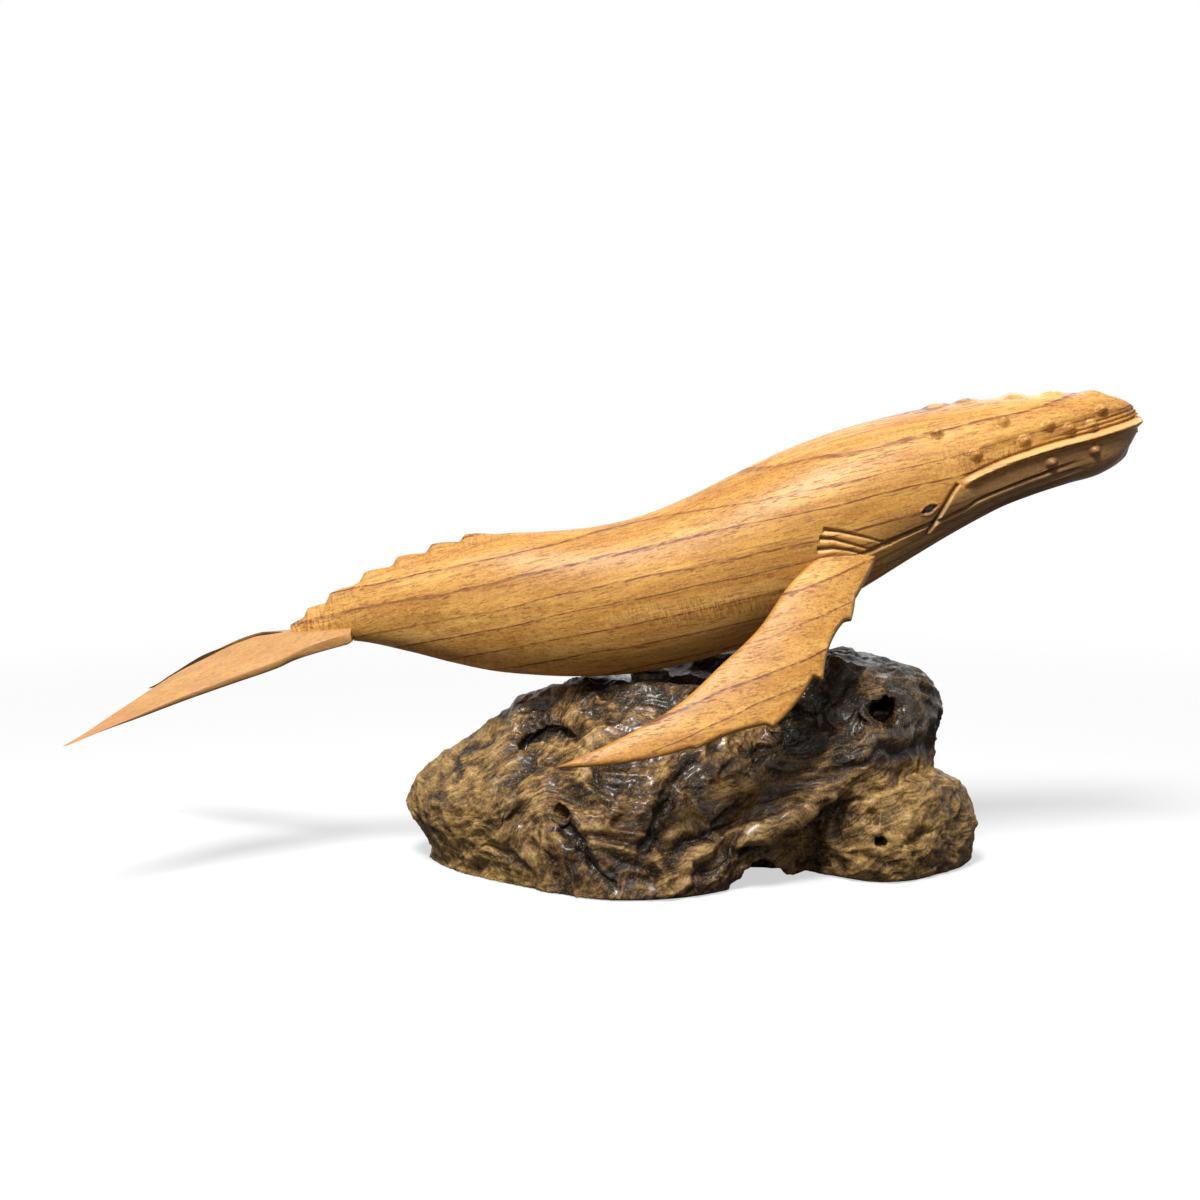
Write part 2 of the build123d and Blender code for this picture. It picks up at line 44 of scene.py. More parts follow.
# shader helpers: a socket that adds its own Math nodes, and one method for every other node
class Field:
    def __init__(self, wood, socket):
        self.wood = wood
        self.socket = socket

    def maths(self, operation, *others, clamp=False):
        return self.wood.node("ShaderNodeMath", {"operation": operation, "use_clamp": clamp},
                              {index: value for index, value in enumerate((self, *others))})

    def __add__(self, other):
        return self.maths("ADD", other)

    def __sub__(self, other):
        return self.maths("SUBTRACT", other)

    def __rsub__(self, other):
        return self.wood.node("ShaderNodeMath", {"operation": "SUBTRACT"}, {0: other, 1: self})

    def __mul__(self, other):
        return self.maths("MULTIPLY", other)

    def __truediv__(self, other):
        return self.maths("DIVIDE", other)

    def __pow__(self, other):
        return self.maths("POWER", other)

    __radd__ = __add__
    __rmul__ = __mul__

    def clipped(self):
        return self.maths("ADD", 0.0, clamp=True)

    def size(self):
        return self.maths("ABSOLUTE")


class Finish:
    def __init__(self, name, **plain):
        self.material = bpy.data.materials.new(name)
        self.material.use_nodes = True
        self.tree = self.material.node_tree
        self.shader = self.tree.nodes["Principled BSDF"]
        for socket, value in plain.items():
            self.shader.inputs[socket.replace("_", " ")].default_value = value

    def node(self, kind, settings=None, values=None, out=0):
        made = self.tree.nodes.new(kind)
        for key, value in (settings or {}).items():
            if key == "stops":
                ramp = made.color_ramp
                while len(ramp.elements) < len(value):
                    ramp.elements.new(0.5)
                for element, (place, tint) in zip(ramp.elements, value):
                    element.position = place
                    element.color = (*tint, 1) if len(tint) == 3 else tint
            else:
                setattr(made, key, value)
        for key, value in (values or {}).items():
            self.feed(made.inputs[key], value)
        return Field(self, made.outputs[out])

    def feed(self, socket, value):
        if isinstance(value, Field):
            self.tree.links.new(value.socket, socket)
        elif isinstance(value, (tuple, list)) and socket.type == "RGBA" and len(value) == 3:
            socket.default_value = (*value, 1)
        else:
            socket.default_value = value

    def here(self):
        return self.node("ShaderNodeTexCoord", out="Object")

    def turned(self, vector, turn):
        return self.node("ShaderNodeVectorRotate", {"rotation_type": "EULER_XYZ"},
                         {"Vector": vector, "Rotation": turn})

    def vector(self, operation, a, b):
        return self.node("ShaderNodeVectorMath", {"operation": operation}, {0: a, 1: b})

    def parts(self, vector):
        return [self.node("ShaderNodeSeparateXYZ", None, {0: vector}, out=axis) for axis in "XYZ"]

    def joined(self, x, y, z):
        return self.node("ShaderNodeCombineXYZ", None, {"X": x, "Y": y, "Z": z})

    def grain(self, vector, scale, detail=3.0, rough=0.5, bend=0.0):
        return self.node("ShaderNodeTexNoise", {"noise_dimensions": "3D"},
                         {"Vector": vector, "Scale": scale, "Detail": detail, "Roughness": rough,
                          "Distortion": bend}, out="Fac")

    def curve(self, value, *stops):
        return self.node("ShaderNodeValToRGB", {"stops": [(at, (v, v, v)) for at, v in stops]},
                         {"Fac": value}, out="Color")

    def tints(self, value, *stops):
        return self.node("ShaderNodeValToRGB", {"stops": stops}, {"Fac": value}, out="Color")

    def mixed(self, factor, a, b, how="MIX"):
        return self.node("ShaderNodeMix", {"data_type": "RGBA", "blend_type": how},
                         {0: factor, 6: a, 7: b}, out=2)

    def carved(self, name):
        return self.node("ShaderNodeAttribute", {"attribute_name": name}, out="Fac")

    def bump(self, height, strength, distance):
        return self.node("ShaderNodeBump", None, {"Height": height, "Strength": strength,
                                                 "Distance": distance})

    def paint(self, **links):
        for socket, value in links.items():
            self.feed(self.shader.inputs[socket.replace("_", " ")], value)
        return self.material


# mesh helpers
def addPiece(mesh, body, slot, node, **marks):
    for mark, values in marks.items():
        mesh.attributes.new(mark, "FLOAT", "POINT").data.foreach_set("value", values.astype(np.float32))
    piece = bpy.data.objects.new(mesh.name, mesh)
    bpy.context.collection.objects.link(piece)
    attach(piece, body)
    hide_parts(node)
    return piece


def meshFrom(name, points, faces, slot, node, sharp, **marks):
    mesh = bpy.data.meshes.new(name)
    mesh.from_pydata(points, [], faces)
    mesh.update()
    mesh.shade_smooth()
    mesh.set_sharp_from_angle(angle=radians(sharp))
    return addPiece(mesh, "whale", slot, node, **marks)


def tubeFaces(rows, columns):
    # quads of a grid that closes round its columns, and a fan at each end
    row = np.arange(rows - 1)[:, None] * columns
    column = np.arange(columns)[None, :]
    beside = (column + 1) % columns
    quads = np.stack([row + column, row + beside, row + beside + columns, row + column + columns], axis=-1)
    faces = quads.reshape(-1, 4).tolist()
    first, last = rows * columns, rows * columns + 1
    end = (rows - 1) * columns
    for index in range(columns):
        after = (index + 1) % columns
        faces.append([first, after, index])
        faces.append([last, end + index, end + after])
    return faces


def tubePoints(grid):
    # the grid's points with the middle of each end ring after them
    return np.concatenate([grid.reshape(-1, 3), grid[:1].mean(axis=1), grid[-1:].mean(axis=1)])


def gridNormals(grid):
    along = np.gradient(grid, axis=0)
    around = np.roll(grid, -1, axis=1) - np.roll(grid, 1, axis=1)
    normal = np.cross(around, along)
    return normal / np.maximum(np.linalg.norm(normal, axis=2, keepdims=True), 1e-12)


def curveAt(table, at):
    # a smooth curve through a table's (place, value) pairs
    xs, ys = np.array(table, float).T
    slopes = np.gradient(ys, xs)
    index = np.clip(np.searchsorted(xs, at) - 1, 0, len(xs) - 2)
    step = xs[index + 1] - xs[index]
    t = np.clip((at - xs[index]) / step, 0, 1)
    return ((1 + 2 * t) * (1 - t) ** 2 * ys[index] + t * (1 - t) ** 2 * step * slopes[index]
            + t * t * (3 - 2 * t) * ys[index + 1] + t * t * (t - 1) * step * slopes[index + 1])


def smoothStep(low, high, value):
    t = np.clip((value - low) / (high - low), 0, 1)
    return t * t * (3 - 2 * t)


def nearLine(points, line):
    # distance of every point from a line of points, and how far along it, from 0 to 1
    best = np.full(points.shape[:-1], 1e9)
    share = np.zeros(points.shape[:-1])
    line = np.array(line, float)
    for index, (start, end) in enumerate(zip(line[:-1], line[1:])):
        run = end - start
        t = np.clip(((points - start) @ run) / (run @ run), 0, 1)
        gap = np.linalg.norm(points - start - t[..., None] * run, axis=-1)
        nearer = gap < best
        best = np.where(nearer, gap, best)
        share = np.where(nearer, (index + t) / (len(line) - 1), share)
    return best, share


def cutAway(piece, *tools):
    for tool in tools:
        cut = piece.modifiers.new("cut", "BOOLEAN")
        cut.operation = "DIFFERENCE"
        cut.solver = "MANIFOLD"
        cut.object = tool
    seen = piece.evaluated_get(bpy.context.evaluated_depsgraph_get())
    mesh = bpy.data.meshes.new_from_object(seen)
    piece.modifiers.clear()
    old = piece.data
    piece.data = mesh
    mesh.name = old.name
    bpy.data.meshes.remove(old)
    for tool in tools:
        bpy.data.objects.remove(tool)
    mesh.shade_smooth()
    mesh.set_sharp_from_angle(angle=radians(whaleBody["cutSharpFrom"]))


def cutterFrom(points, faces):
    mesh = bpy.data.meshes.new("cutter")
    mesh.from_pydata(points, [], faces)
    tool = bpy.data.objects.new("cutter", mesh)
    bpy.context.collection.objects.link(tool)
    return tool


def drillAt(radius, low, high, sides=96):
    ring = [(radius * cos(2 * pi * k / sides), radius * sin(2 * pi * k / sides)) for k in range(sides)]
    points = [(x, y, low) for x, y in ring] + [(x, y, high) for x, y in ring]
    faces = [list(range(sides))[::-1], list(range(sides, 2 * sides))]
    faces += [[k, (k + 1) % sides, (k + 1) % sides + sides, k + sides] for k in range(sides)]
    return cutterFrom(points, faces)


# the whale's body: stations hold place, top, bottom, half width, widest level and roundness
whaleBody = {
    "length": 338 * mm, "depth": 64 * mm, "width": 57 * mm, "pitch": 13.5,
    "tail": (-140 * mm, 0, 94 * mm), "bellyPower": 2.35,
    # rows of the tail, of the head and of the arc that closes the snout, and the places between them
    "rows": (330, 480, 190), "rowBreaks": (0.56, 0.93), "arcFrom": 0.88, "arcGap": 0.0002, "columns": 480,
    "stations": [
        (0.000, 0.008, -0.094, 0.046, -0.047, 1.7), (0.030, 0.055, -0.133, 0.081, -0.055, 1.7),
        (0.068, 0.130, -0.178, 0.112, -0.062, 1.6), (0.127, 0.211, -0.320, 0.170, -0.078, 1.6),
        (0.169, 0.242, -0.437, 0.222, -0.109, 1.6), (0.213, 0.259, -0.547, 0.275, -0.156, 1.7),
        (0.260, 0.250, -0.633, 0.328, -0.203, 1.8), (0.308, 0.202, -0.703, 0.372, -0.250, 1.9),
        (0.361, 0.161, -0.756, 0.412, -0.289, 2.0), (0.414, 0.153, -0.778, 0.447, -0.305, 2.0),
        (0.473, 0.194, -0.770, 0.477, -0.281, 2.0), (0.533, 0.266, -0.728, 0.498, -0.219, 2.0),
        (0.592, 0.333, -0.666, 0.503, -0.156, 2.0), (0.651, 0.375, -0.575, 0.495, -0.109, 2.0),
        (0.710, 0.391, -0.469, 0.470, -0.094, 2.0), (0.763, 0.388, -0.378, 0.434, -0.094, 2.0),
        (0.817, 0.366, -0.303, 0.390, -0.070, 2.0), (0.864, 0.334, -0.269, 0.342, -0.047, 2.0),
        (0.905, 0.297, -0.253, 0.293, -0.023, 2.0), (0.941, 0.259, -0.242, 0.240, -0.016, 2.0),
        (0.967, 0.216, -0.200, 0.187, -0.008, 2.0), (0.985, 0.163, -0.134, 0.134, -0.005, 2.0),
        (0.996, 0.102, -0.078, 0.081, -0.003, 2.0), (1.000, 0.044, -0.053, 0.035, 0.000, 2.0),
        (1.0006, 0.000, 0.000, 0.000, 0.000, 2.0),
    ],
    "snoutFrom": 0.94, "snoutEnd": 1.0006,
    "mouthLine": [(0.740, -0.140), (0.793, -0.059), (0.828, -0.028), (0.882, -0.006),
                  (0.941, -0.003), (0.976, 0.004), (1.030, 0.025)],
    "rostrum": [(0.740, 0.470), (0.775, 0.424), (0.817, 0.371), (0.864, 0.321), (0.905, 0.272),
                (0.941, 0.217), (0.967, 0.164), (0.985, 0.106), (0.9955, 0.030), (1.002, 0.0)],
    "sharpFrom": 50, "cutSharpFrom": 40,
    # the lip's grooves hold height above the lip, place where they start, and depth
    "lipWidth": 1.9 * mm, "lipRise": 0.7 * mm, "ledge": 1.1 * mm, "jawFrom": (0.772, 0.792),
    "jawHollow": 1.9 * mm, "seamDepth": 0.8 * mm,
    "lipGrooves": [(1.9 * mm, 0.865, 0.55 * mm), (3.6 * mm, 0.905, 0.5 * mm)], "grooveWidth": 0.42 * mm,
    "foldDepth": 1.5 * mm, "foldRise": 0.8 * mm,
    "fold": [(0.7730, -0.070), (0.763, -0.120), (0.749, -0.200), (0.734, -0.285), (0.717, -0.365)],
    "gouges": [[(0.613, -0.140), (0.632, -0.178), (0.656, -0.240), (0.684, -0.322)],
               [(0.607, -0.185), (0.622, -0.210), (0.642, -0.265), (0.664, -0.333)],
               [(0.602, -0.245), (0.620, -0.262), (0.637, -0.295), (0.655, -0.345)]],
    # in mm: a gouge's width and depth at its upper end, each with what it loses to the lower end
    "gougeWidth": (1.25, 0.75), "gougeDepth": (1.5, 0.8),
    "pleats": [116, 130, 143, 155, 167], "pleatFrom": 0.592, "pleatTo": 0.905,
    "pleatWidth": 1.5 * mm, "pleatDepth": 1.5 * mm,
    "sideTubercles": [(0.763, 0.244), (0.799, 0.069), (0.839, 0.219), (0.857, 0.078), (0.888, 0.134),
                      (0.911, 0.080), (0.953, 0.141), (0.938, 0.069), (0.883, -0.088), (0.936, -0.084)],
    "tubercleRadius": 3.2 * mm, "tubercleRise": 2.1 * mm,
    "moat": (3.4 * mm, 6.0 * mm), "moatDepth": 0.45 * mm,
    "topTubercles": [0.777, 0.811, 0.864, 0.907, 0.954], "topRadius": 7.0 * mm, "topRise": 1.3 * mm,
    "knuckles": [(0.232, 0.021), (0.191, 0.020), (0.149, 0.019), (0.107, 0.018), (0.062, 0.017),
                 (0.031, 0.014)],
    "knuckleWidth": 3.1 * mm, "knuckleRise": 2.3 * mm,
    "eye": (0.7335, -0.170), "eyeLength": 6.4 * mm, "eyeOpening": 2.5 * mm, "eyeSlope": 0.20,
    "eyeDepth": 1.1 * mm, "ballRadius": 2.0 * mm, "ballRise": 1.0 * mm,
    "lidRise": 0.3 * mm, "lidWidth": 0.5 * mm,
    "seat": 76.8 * mm, "seatRadius": 8 * mm, "boreRadius": 2.55 * mm, "boreDepth": 23 * mm,
    "lapTilt": 4.8, "lap": (-115.5 * mm, 0, 94 * mm), "lapBox": (-0.12, 0.06, -0.06),
}


def bodyColumn(number):
    return [(station[0], station[number]) for station in whaleBody["stations"]]


def snoutPlace(place):
    # stretches the place near the snout, where the sections close like the end of an egg
    reach = whaleBody["snoutEnd"] - whaleBody["snoutFrom"]
    share = np.clip((place - whaleBody["snoutFrom"]) / reach, 0, 1)
    return np.where(share > 0, whaleBody["snoutFrom"] + reach * np.arcsin(share), place)


def bodySurface(place, angle):
    # angle is 0 on the back and a half turn on the belly, first down the near side
    w = whaleBody
    top, bottom, halfWidth, level, power = [
        curveAt([(float(snoutPlace(np.array(at))), value) for at, value in bodyColumn(number)],
                snoutPlace(place)) for number in range(1, 6)]
    up, out = np.cos(angle), np.sin(angle)
    power = np.where(up >= 0, power, w["bellyPower"])
    reach = np.where(up >= 0, top - level, level - bottom)
    side = halfWidth * np.sign(out) * np.abs(out) ** (2 / power)
    height = level + reach * np.sign(up) * np.abs(up) ** (2 / power)
    parts = np.broadcast_arrays(place * w["length"], -side * w["width"], height * w["depth"])
    return np.stack(parts, axis=-1)


def tilted(points, degrees, place):
    tilt = radians(degrees)
    turn = np.array([[cos(tilt), 0, -sin(tilt)], [0, 1, 0], [sin(tilt), 0, cos(tilt)]])
    return points @ turn.T + np.array(place)


def fromBody(points):
    return tilted(points, whaleBody["pitch"], whaleBody["tail"])


def onFlank(place, height):
    # the near side's point at a place along the body and a height across it
    angles = np.linspace(0.05, pi - 0.05, 400)
    points = bodySurface(np.array(place), angles)
    return points[np.argmin(np.abs(points[:, 2] - height * whaleBody["depth"]))]


def mirrored(line):
    return [np.array(point) * (1, -1, 1) for point in line]


def bump(points, centre, radius):
    share = np.linalg.norm(points - centre, axis=-1) / radius
    return np.where(share < 1, 0.5 + 0.5 * np.cos(pi * np.minimum(share, 1)), 0)


def ridgeAt(offset, width):
    return np.exp(-(offset / width) ** 2)


def carveLip(grid, angles, place, lift, marks):
    # above the mouth line the rostrum is narrower than the jaw; returns the narrowed grid
    w = whaleBody
    rise = grid[..., 2] - curveAt(w["mouthLine"], place) * w["depth"]
    limit = curveAt(w["rostrum"], place) * w["width"]
    jaw = smoothStep(*w["jawFrom"], place)
    bevel = np.clip(rise / w["lipWidth"], 0, 1)
    over = np.maximum(np.abs(grid[..., 1]) - limit + w["ledge"], 0) * bevel * jaw
    narrowed = grid.copy()
    narrowed[..., 1] -= np.sign(grid[..., 1]) * over
    # the lip stands out above a hollowed jaw; a seam runs above it, and two grooves near the snout
    onSide = np.maximum(smoothStep(0.05, 0.25, np.abs(np.sin(angles))), smoothStep(0.972, 0.985, place))
    lift += w["lipRise"] * ridgeAt(rise - 0.2 * mm, 1.1 * mm) * jaw * onSide
    hollow = smoothStep(-0.4 * mm, -2.4 * mm, rise) * smoothStep(-17 * mm, -6 * mm, rise) * jaw * onSide
    lift -= w["jawHollow"] * hollow
    cut = w["seamDepth"] * ridgeAt(rise - w["lipWidth"] - 0.3 * mm, 0.5 * mm) * jaw
    for offset, start, depth in w["lipGrooves"]:
        near = ridgeAt(rise - w["lipWidth"] - offset, w["grooveWidth"])
        cut = cut + depth * near * smoothStep(start, start + 0.05, place)
    lift -= cut * onSide
    # painted shade in the seam and the grooves
    marks["cut"] += cut * onSide
    # painted highlight along the lip's top, which faces up into the light
    lit = smoothStep(0, 0.4 * mm, rise) * smoothStep(w["lipWidth"], w["lipWidth"] - 0.5 * mm, rise)
    marks["fresh"] += 0.55 * mm * lit * jaw * onSide
    # painted shade: the jaw and throat, under the lip, are darker than the rest
    marks["shade"] += mm * smoothStep(0.63, 0.79, place) * smoothStep(-0.4 * mm, -4.5 * mm, rise)
    return narrowed


def carveFold(grid, fold, lift, marks):
    # the cheek fold: steep towards the jaw, with painted shade in its groove and a painted highlight on its
    # raised edge
    w = whaleBody
    gap, share = nearLine(grid, fold)
    ahead = grid[..., 0] - np.interp(grid[..., 2], [point[2] for point in fold][::-1],
                                     [point[0] for point in fold][::-1])
    ends = smoothStep(0.0, 0.05, share) * smoothStep(1.0, 0.7, share)
    cut = w["foldDepth"] * ridgeAt(gap - 0.5 * mm, 0.9 * mm) * ends * (ahead < 0)
    lift += w["foldRise"] * np.exp(-gap / (3.5 * mm)) * smoothStep(-0.3 * mm, 0.5 * mm, ahead) * ends
    lift -= cut
    marks["cut"] += 0.9 * cut
    marks["fresh"] += 0.6 * mm * ridgeAt(gap - 0.4 * mm, 0.5 * mm) * ends * (ahead > 0)


def carveGouge(grid, line, lift, marks):
    # one stroke of a V gouge, with a painted highlight on its lower wall, which faces up, and painted shade
    # on its upper wall, which faces down
    (wide, narrowing), (deep, shoaling) = whaleBody["gougeWidth"], whaleBody["gougeDepth"]
    gap, share = nearLine(grid, line)
    wall = np.clip(1.15 - gap / ((wide - narrowing * share) * mm), 0, 1)
    cut = (deep - shoaling * share) * mm * wall * smoothStep(0, 0.02, share)
    lift -= cut
    level = np.interp(grid[..., 0], [point[0] for point in line], [point[2] for point in line])
    above = grid[..., 2] - level
    marks["fresh"] += 0.9 * np.minimum(cut, 1.0 * mm) * smoothStep(0.1 * mm, -0.2 * mm, above)
    marks["cut"] += 1.6 * cut * smoothStep(-0.1 * mm, 0.2 * mm, above)


def carveTubercle(grid, centre, lift, marks):
    w = whaleBody
    lift += w["tubercleRise"] * bump(grid, centre, w["tubercleRadius"]) ** 0.85
    inner, outer = w["moat"]
    moat = bump(grid, centre, outer) - bump(grid, centre, inner)
    lift -= w["moatDepth"] * moat
    # painted shade in the moat
    marks["cut"] += 0.2 * mm * moat


def carveEye(grid, centre, lift, marks):
    # a lidded almond with a ball in it
    w = whaleBody
    along = grid[..., 0] - centre[0]
    up = grid[..., 2] - centre[2] - w["eyeSlope"] * along
    near = np.abs(grid[..., 1] - centre[1]) < 8 * mm
    half = w["eyeLength"] / 2
    lid = w["eyeOpening"] / 2 * np.clip(1 - (along / half) ** 2, 0, 1)
    inside = smoothStep(0.35 * mm, -0.35 * mm, np.abs(up) - lid) * near * (np.abs(along) < half)
    ball = np.clip(1 - (along ** 2 + up ** 2) / w["ballRadius"] ** 2, 0, 1) ** 0.5
    lift += inside * (w["ballRise"] * ball - w["eyeDepth"])
    marks["eye"] += inside * (0.9 * mm + 0.1 * mm * ball)
    rim = ridgeAt(np.abs(up) - lid - 0.7 * mm, w["lidWidth"]) * near
    lift += w["lidRise"] * rim * smoothStep(1.35, 0.9, np.abs(along) / half)


def carvePleats(grid, angles, place, lift, marks):
    w = whaleBody
    radius = np.hypot(grid[..., 1], grid[..., 2] + 0.12 * w["depth"])
    ends = smoothStep(w["pleatFrom"], w["pleatFrom"] + 0.05, place)
    ends = ends * smoothStep(w["pleatTo"] + 0.02, w["pleatTo"] - 0.03, place)
    for pleat in w["pleats"]:
        for at in (radians(pleat), 2 * pi - radians(pleat)):
            gap = np.abs(angles - at) * radius
            cut = w["pleatDepth"] * np.clip(1 - gap / w["pleatWidth"], 0, 1) * ends
            lift -= cut
            # painted shade in each pleat
            marks["cut"] += 0.8 * cut


def raiseTop(moved, grid, angles, place, marks):
    # the row on top of the head, and the knuckles along the tail stock, steep towards the tail
    w = whaleBody
    for at in w["topTubercles"]:
        centre = bodySurface(np.array(at), np.array([0.0]))[0]
        moved[..., 2] += w["topRise"] * bump(grid, centre, w["topRadius"])
    ridge = ridgeAt(grid[..., 1], w["knuckleWidth"]) * (np.cos(angles) > 0)
    for at, length in w["knuckles"]:
        share = (place - at) / length
        hump = smoothStep(-1.02, -0.45, share) * (1 - 0.92 * np.clip((share + 0.45) / 1.45, 0, 1) ** 1.3)
        hump = hump * smoothStep(1.04, 0.98, share)
        moved[..., 2] += w["knuckleRise"] * hump * ridge
        # painted shade at each knuckle's steep step
        marks["cut"] += 0.5 * mm * (ridgeAt(share - 1.02, 0.16) * ridge)


def carveBody(grid, angles):
    # moves the grid's points as the carver's tools did, and marks where painted shade and painted highlights
    # go, and where the eye is dark
    w = whaleBody
    normal = gridNormals(grid)
    place = grid[..., 0] / w["length"]
    lift = np.zeros(place.shape)
    marks = {mark: np.zeros(place.shape) for mark in ("cut", "fresh", "eye", "shade")}
    narrowed = carveLip(grid, angles, place, lift, marks)
    for side in (list, mirrored):
        carveFold(grid, side([onFlank(*share) for share in w["fold"]]), lift, marks)
        for shares in w["gouges"]:
            carveGouge(grid, side([onFlank(*share) for share in shares]), lift, marks)
        for share in w["sideTubercles"]:
            carveTubercle(grid, side([onFlank(*share)])[0], lift, marks)
        carveEye(grid, side([onFlank(*w["eye"])])[0], lift, marks)
    carvePleats(grid, angles, place, lift, marks)
    moved = narrowed + normal * lift[..., None]
    raiseTop(moved, grid, angles, place, marks)
    return moved, marks


def makeWhaleBody():
    w = whaleBody
    tail, head, snout = w["rows"]
    headFrom, headTo = w["rowBreaks"]
    arcFrom, arcTo = w["arcFrom"], w["snoutEnd"]
    steady = np.concatenate([np.linspace(0, headFrom, tail, endpoint=False),
                             np.linspace(headFrom, headTo, head)])
    turn = np.linspace(np.arcsin((headTo - arcFrom) / (arcTo - arcFrom)), pi / 2, snout + 1)[1:]
    place = np.concatenate([steady, arcFrom + (arcTo - w["arcGap"] - arcFrom) * np.sin(turn)])[:, None]
    angles = np.linspace(0, 2 * pi, w["columns"], endpoint=False)[None, :]
    grid = bodySurface(place, angles)
    carved, marks = carveBody(grid, np.broadcast_to(angles, grid.shape[:2]))
    points = fromBody(tubePoints(carved))
    marks = {mark: np.concatenate([values.ravel(), [0, 0]]) / mm for mark, values in marks.items()}
    faces = tubeFaces(len(place), w["columns"])
    piece = meshFrom("carvedBody", points, faces, "whale_wood", "whale_body", w["sharpFrom"], **marks)
    # the fluke's lap, the seat on the root's pad and the pin's bore are cut out of it
    back, half, down = w["lapBox"]
    corners = np.array([(x, y, z) for x in (back, 0) for y in (-half, half) for z in (down, 0)])
    box = [[0, 1, 3, 2], [4, 6, 7, 5], [0, 4, 5, 1], [2, 3, 7, 6], [0, 2, 6, 4], [1, 5, 7, 3]]
    lap = cutterFrom(tilted(corners, w["lapTilt"], w["lap"]), box)
    seat = drillAt(w["seatRadius"], 0, w["seat"])
    bore = drillAt(w["boreRadius"], w["seat"] - 1 * mm, w["seat"] + w["boreDepth"])
    cutAway(piece, lap, seat, bore)
    return piece


# flippers: one blade, set on both sides; places are shares of its length, and heights of its chord
flipper = {
    "length": 136.6 * mm, "chord": 35 * mm, "thick": 8 * mm, "bow": 2.8 * mm,
    "heading": 25.5, "dip": 30, "toe": 5.7, "root": (211.9 * mm, -24 * mm, -22.8 * mm),
    "rows": 420, "columns": 120, "sharpFrom": 60,
    "edgeRound": 1.7 * mm, "tipRound": 3 * mm, "edgeBand": 1.2 * mm,
    # the scalloped edge: a bow through each three points
    "lead": [
        [(-0.110, 0.150), (-0.030, 0.300), (0.046, 0.420)], [(0.046, 0.420), (0.073, 0.512), (0.099, 0.586)],
        [(0.099, 0.586), (0.110, 0.562), (0.120, 0.552)], [(0.120, 0.552), (0.212, 0.706), (0.280, 0.926)],
        [(0.280, 0.926), (0.289, 0.866), (0.297, 0.840)], [(0.297, 0.840), (0.360, 0.931), (0.476, 1.009)],
        [(0.476, 1.009), (0.483, 0.965), (0.489, 0.937)], [(0.489, 0.937), (0.580, 0.800), (0.674, 0.720)],
        [(0.674, 0.720), (0.683, 0.685), (0.690, 0.668)], [(0.690, 0.668), (0.830, 0.430), (1.000, 0.000)],
    ],
    "trail": [(-0.110, -0.300), (0.057, -0.191), (0.163, -0.126), (0.326, 0.080), (0.474, 0.160),
              (0.628, 0.229), (0.817, 0.157), (1.000, 0.000)],
    # place, middle, half width and thickness
    "blade": [(-0.130, -0.060, 0.420, 1.00), (0.060, 0.120, 0.420, 1.00), (0.163, 0.254, 0.450, 0.95),
              (0.326, 0.503, 0.475, 0.82), (0.480, 0.583, 0.465, 0.70), (0.628, 0.500, 0.330, 0.60),
              (0.813, 0.303, 0.190, 0.45), (0.930, 0.160, 0.115, 0.34), (1.020, -0.010, 0.050, 0.22)],
}


def leadingEdge(place):
    edge = np.zeros(place.shape)
    for (x0, y0), (x1, y1), (x2, y2) in flipper["lead"]:
        here = (place >= x0 - 1e-9) & (place <= x2 + 1e-9)
        bow = (y0 * (place - x1) * (place - x2) / ((x0 - x1) * (x0 - x2))
               + y1 * (place - x0) * (place - x2) / ((x1 - x0) * (x1 - x2))
               + y2 * (place - x0) * (place - x1) / ((x2 - x0) * (x2 - x1)))
        edge = np.where(here, bow, edge)
    return edge


def flipperPoints():
    f = flipper
    turn = np.linspace(0, 1, f["rows"])
    # rows lie closer towards the tip
    place = -0.110 + 1.110 * (1 - (1 - turn) ** 1.25)
    lead, trail = leadingEdge(place), curveAt(f["trail"], place)
    lead[-1] = trail[-1] = 0
    middle, half, thick = [curveAt([(row[0], row[n]) for row in f["blade"]], place) for n in (1, 2, 3)]
    around = np.linspace(0, 2 * pi, f["columns"], endpoint=False)[None, :]
    across = 0.5 - 0.5 * np.cos(around)
    y = trail[:, None] + (lead - trail)[:, None] * across
    off = np.clip((y - middle[:, None]) / (half[:, None] + 0.06), -1, 1)
    swell = thick[:, None] * f["thick"] / 2 * (1 - 0.88 * off ** 2)
    inset = np.minimum(y - trail[:, None], lead[:, None] - y) * f["chord"]
    rounded = np.clip(inset / f["edgeRound"], 0, 1)
    tip = np.clip((1.0 - place) * f["length"] / f["tipRound"], 0, 1)[:, None]
    swell = swell * np.sqrt(1 - (1 - rounded) ** 2) * np.sqrt(1 - (1 - tip) ** 2)
    rise = 4 * f["bow"] * place * (1 - place)
    z = rise[:, None] + swell * np.where(around < pi, 1, -1)
    x = np.broadcast_to((place * f["length"])[:, None], y.shape)
    grid = np.stack([x, y * f["chord"], z], axis=-1)
    heading, dip, toe = radians(f["heading"]), radians(f["dip"]), radians(f["toe"])
    span = np.array([-cos(dip) * cos(heading), -cos(dip) * sin(heading), -sin(dip)])
    up = np.cross(span, [cos(toe), sin(toe), 0])
    up /= np.linalg.norm(up)
    turned = np.array([span, np.cross(up, span), up])
    return tubePoints(grid) @ turned + fromBody(np.array([f["root"]]))[0], inset.ravel()


def makeFlippers():
    points, inset = flipperPoints()
    edge = np.concatenate([np.clip(1 - inset / flipper["edgeBand"], 0, 1), [0, 1]])
    faces = tubeFaces(flipper["rows"], flipper["columns"])
    away = [face[::-1] for face in faces]
    pieces = []
    for name, flip in (("rightFlipper", 1), ("leftFlipper", -1)):
        node = "right_flipper" if flip > 0 else "left_flipper"
        outward = away if flip > 0 else faces
        pieces.append(meshFrom(name, points * (1, flip, 1), outward, "flipper_wood", node,
                               flipper["sharpFrom"], edge=edge))
    return pieces


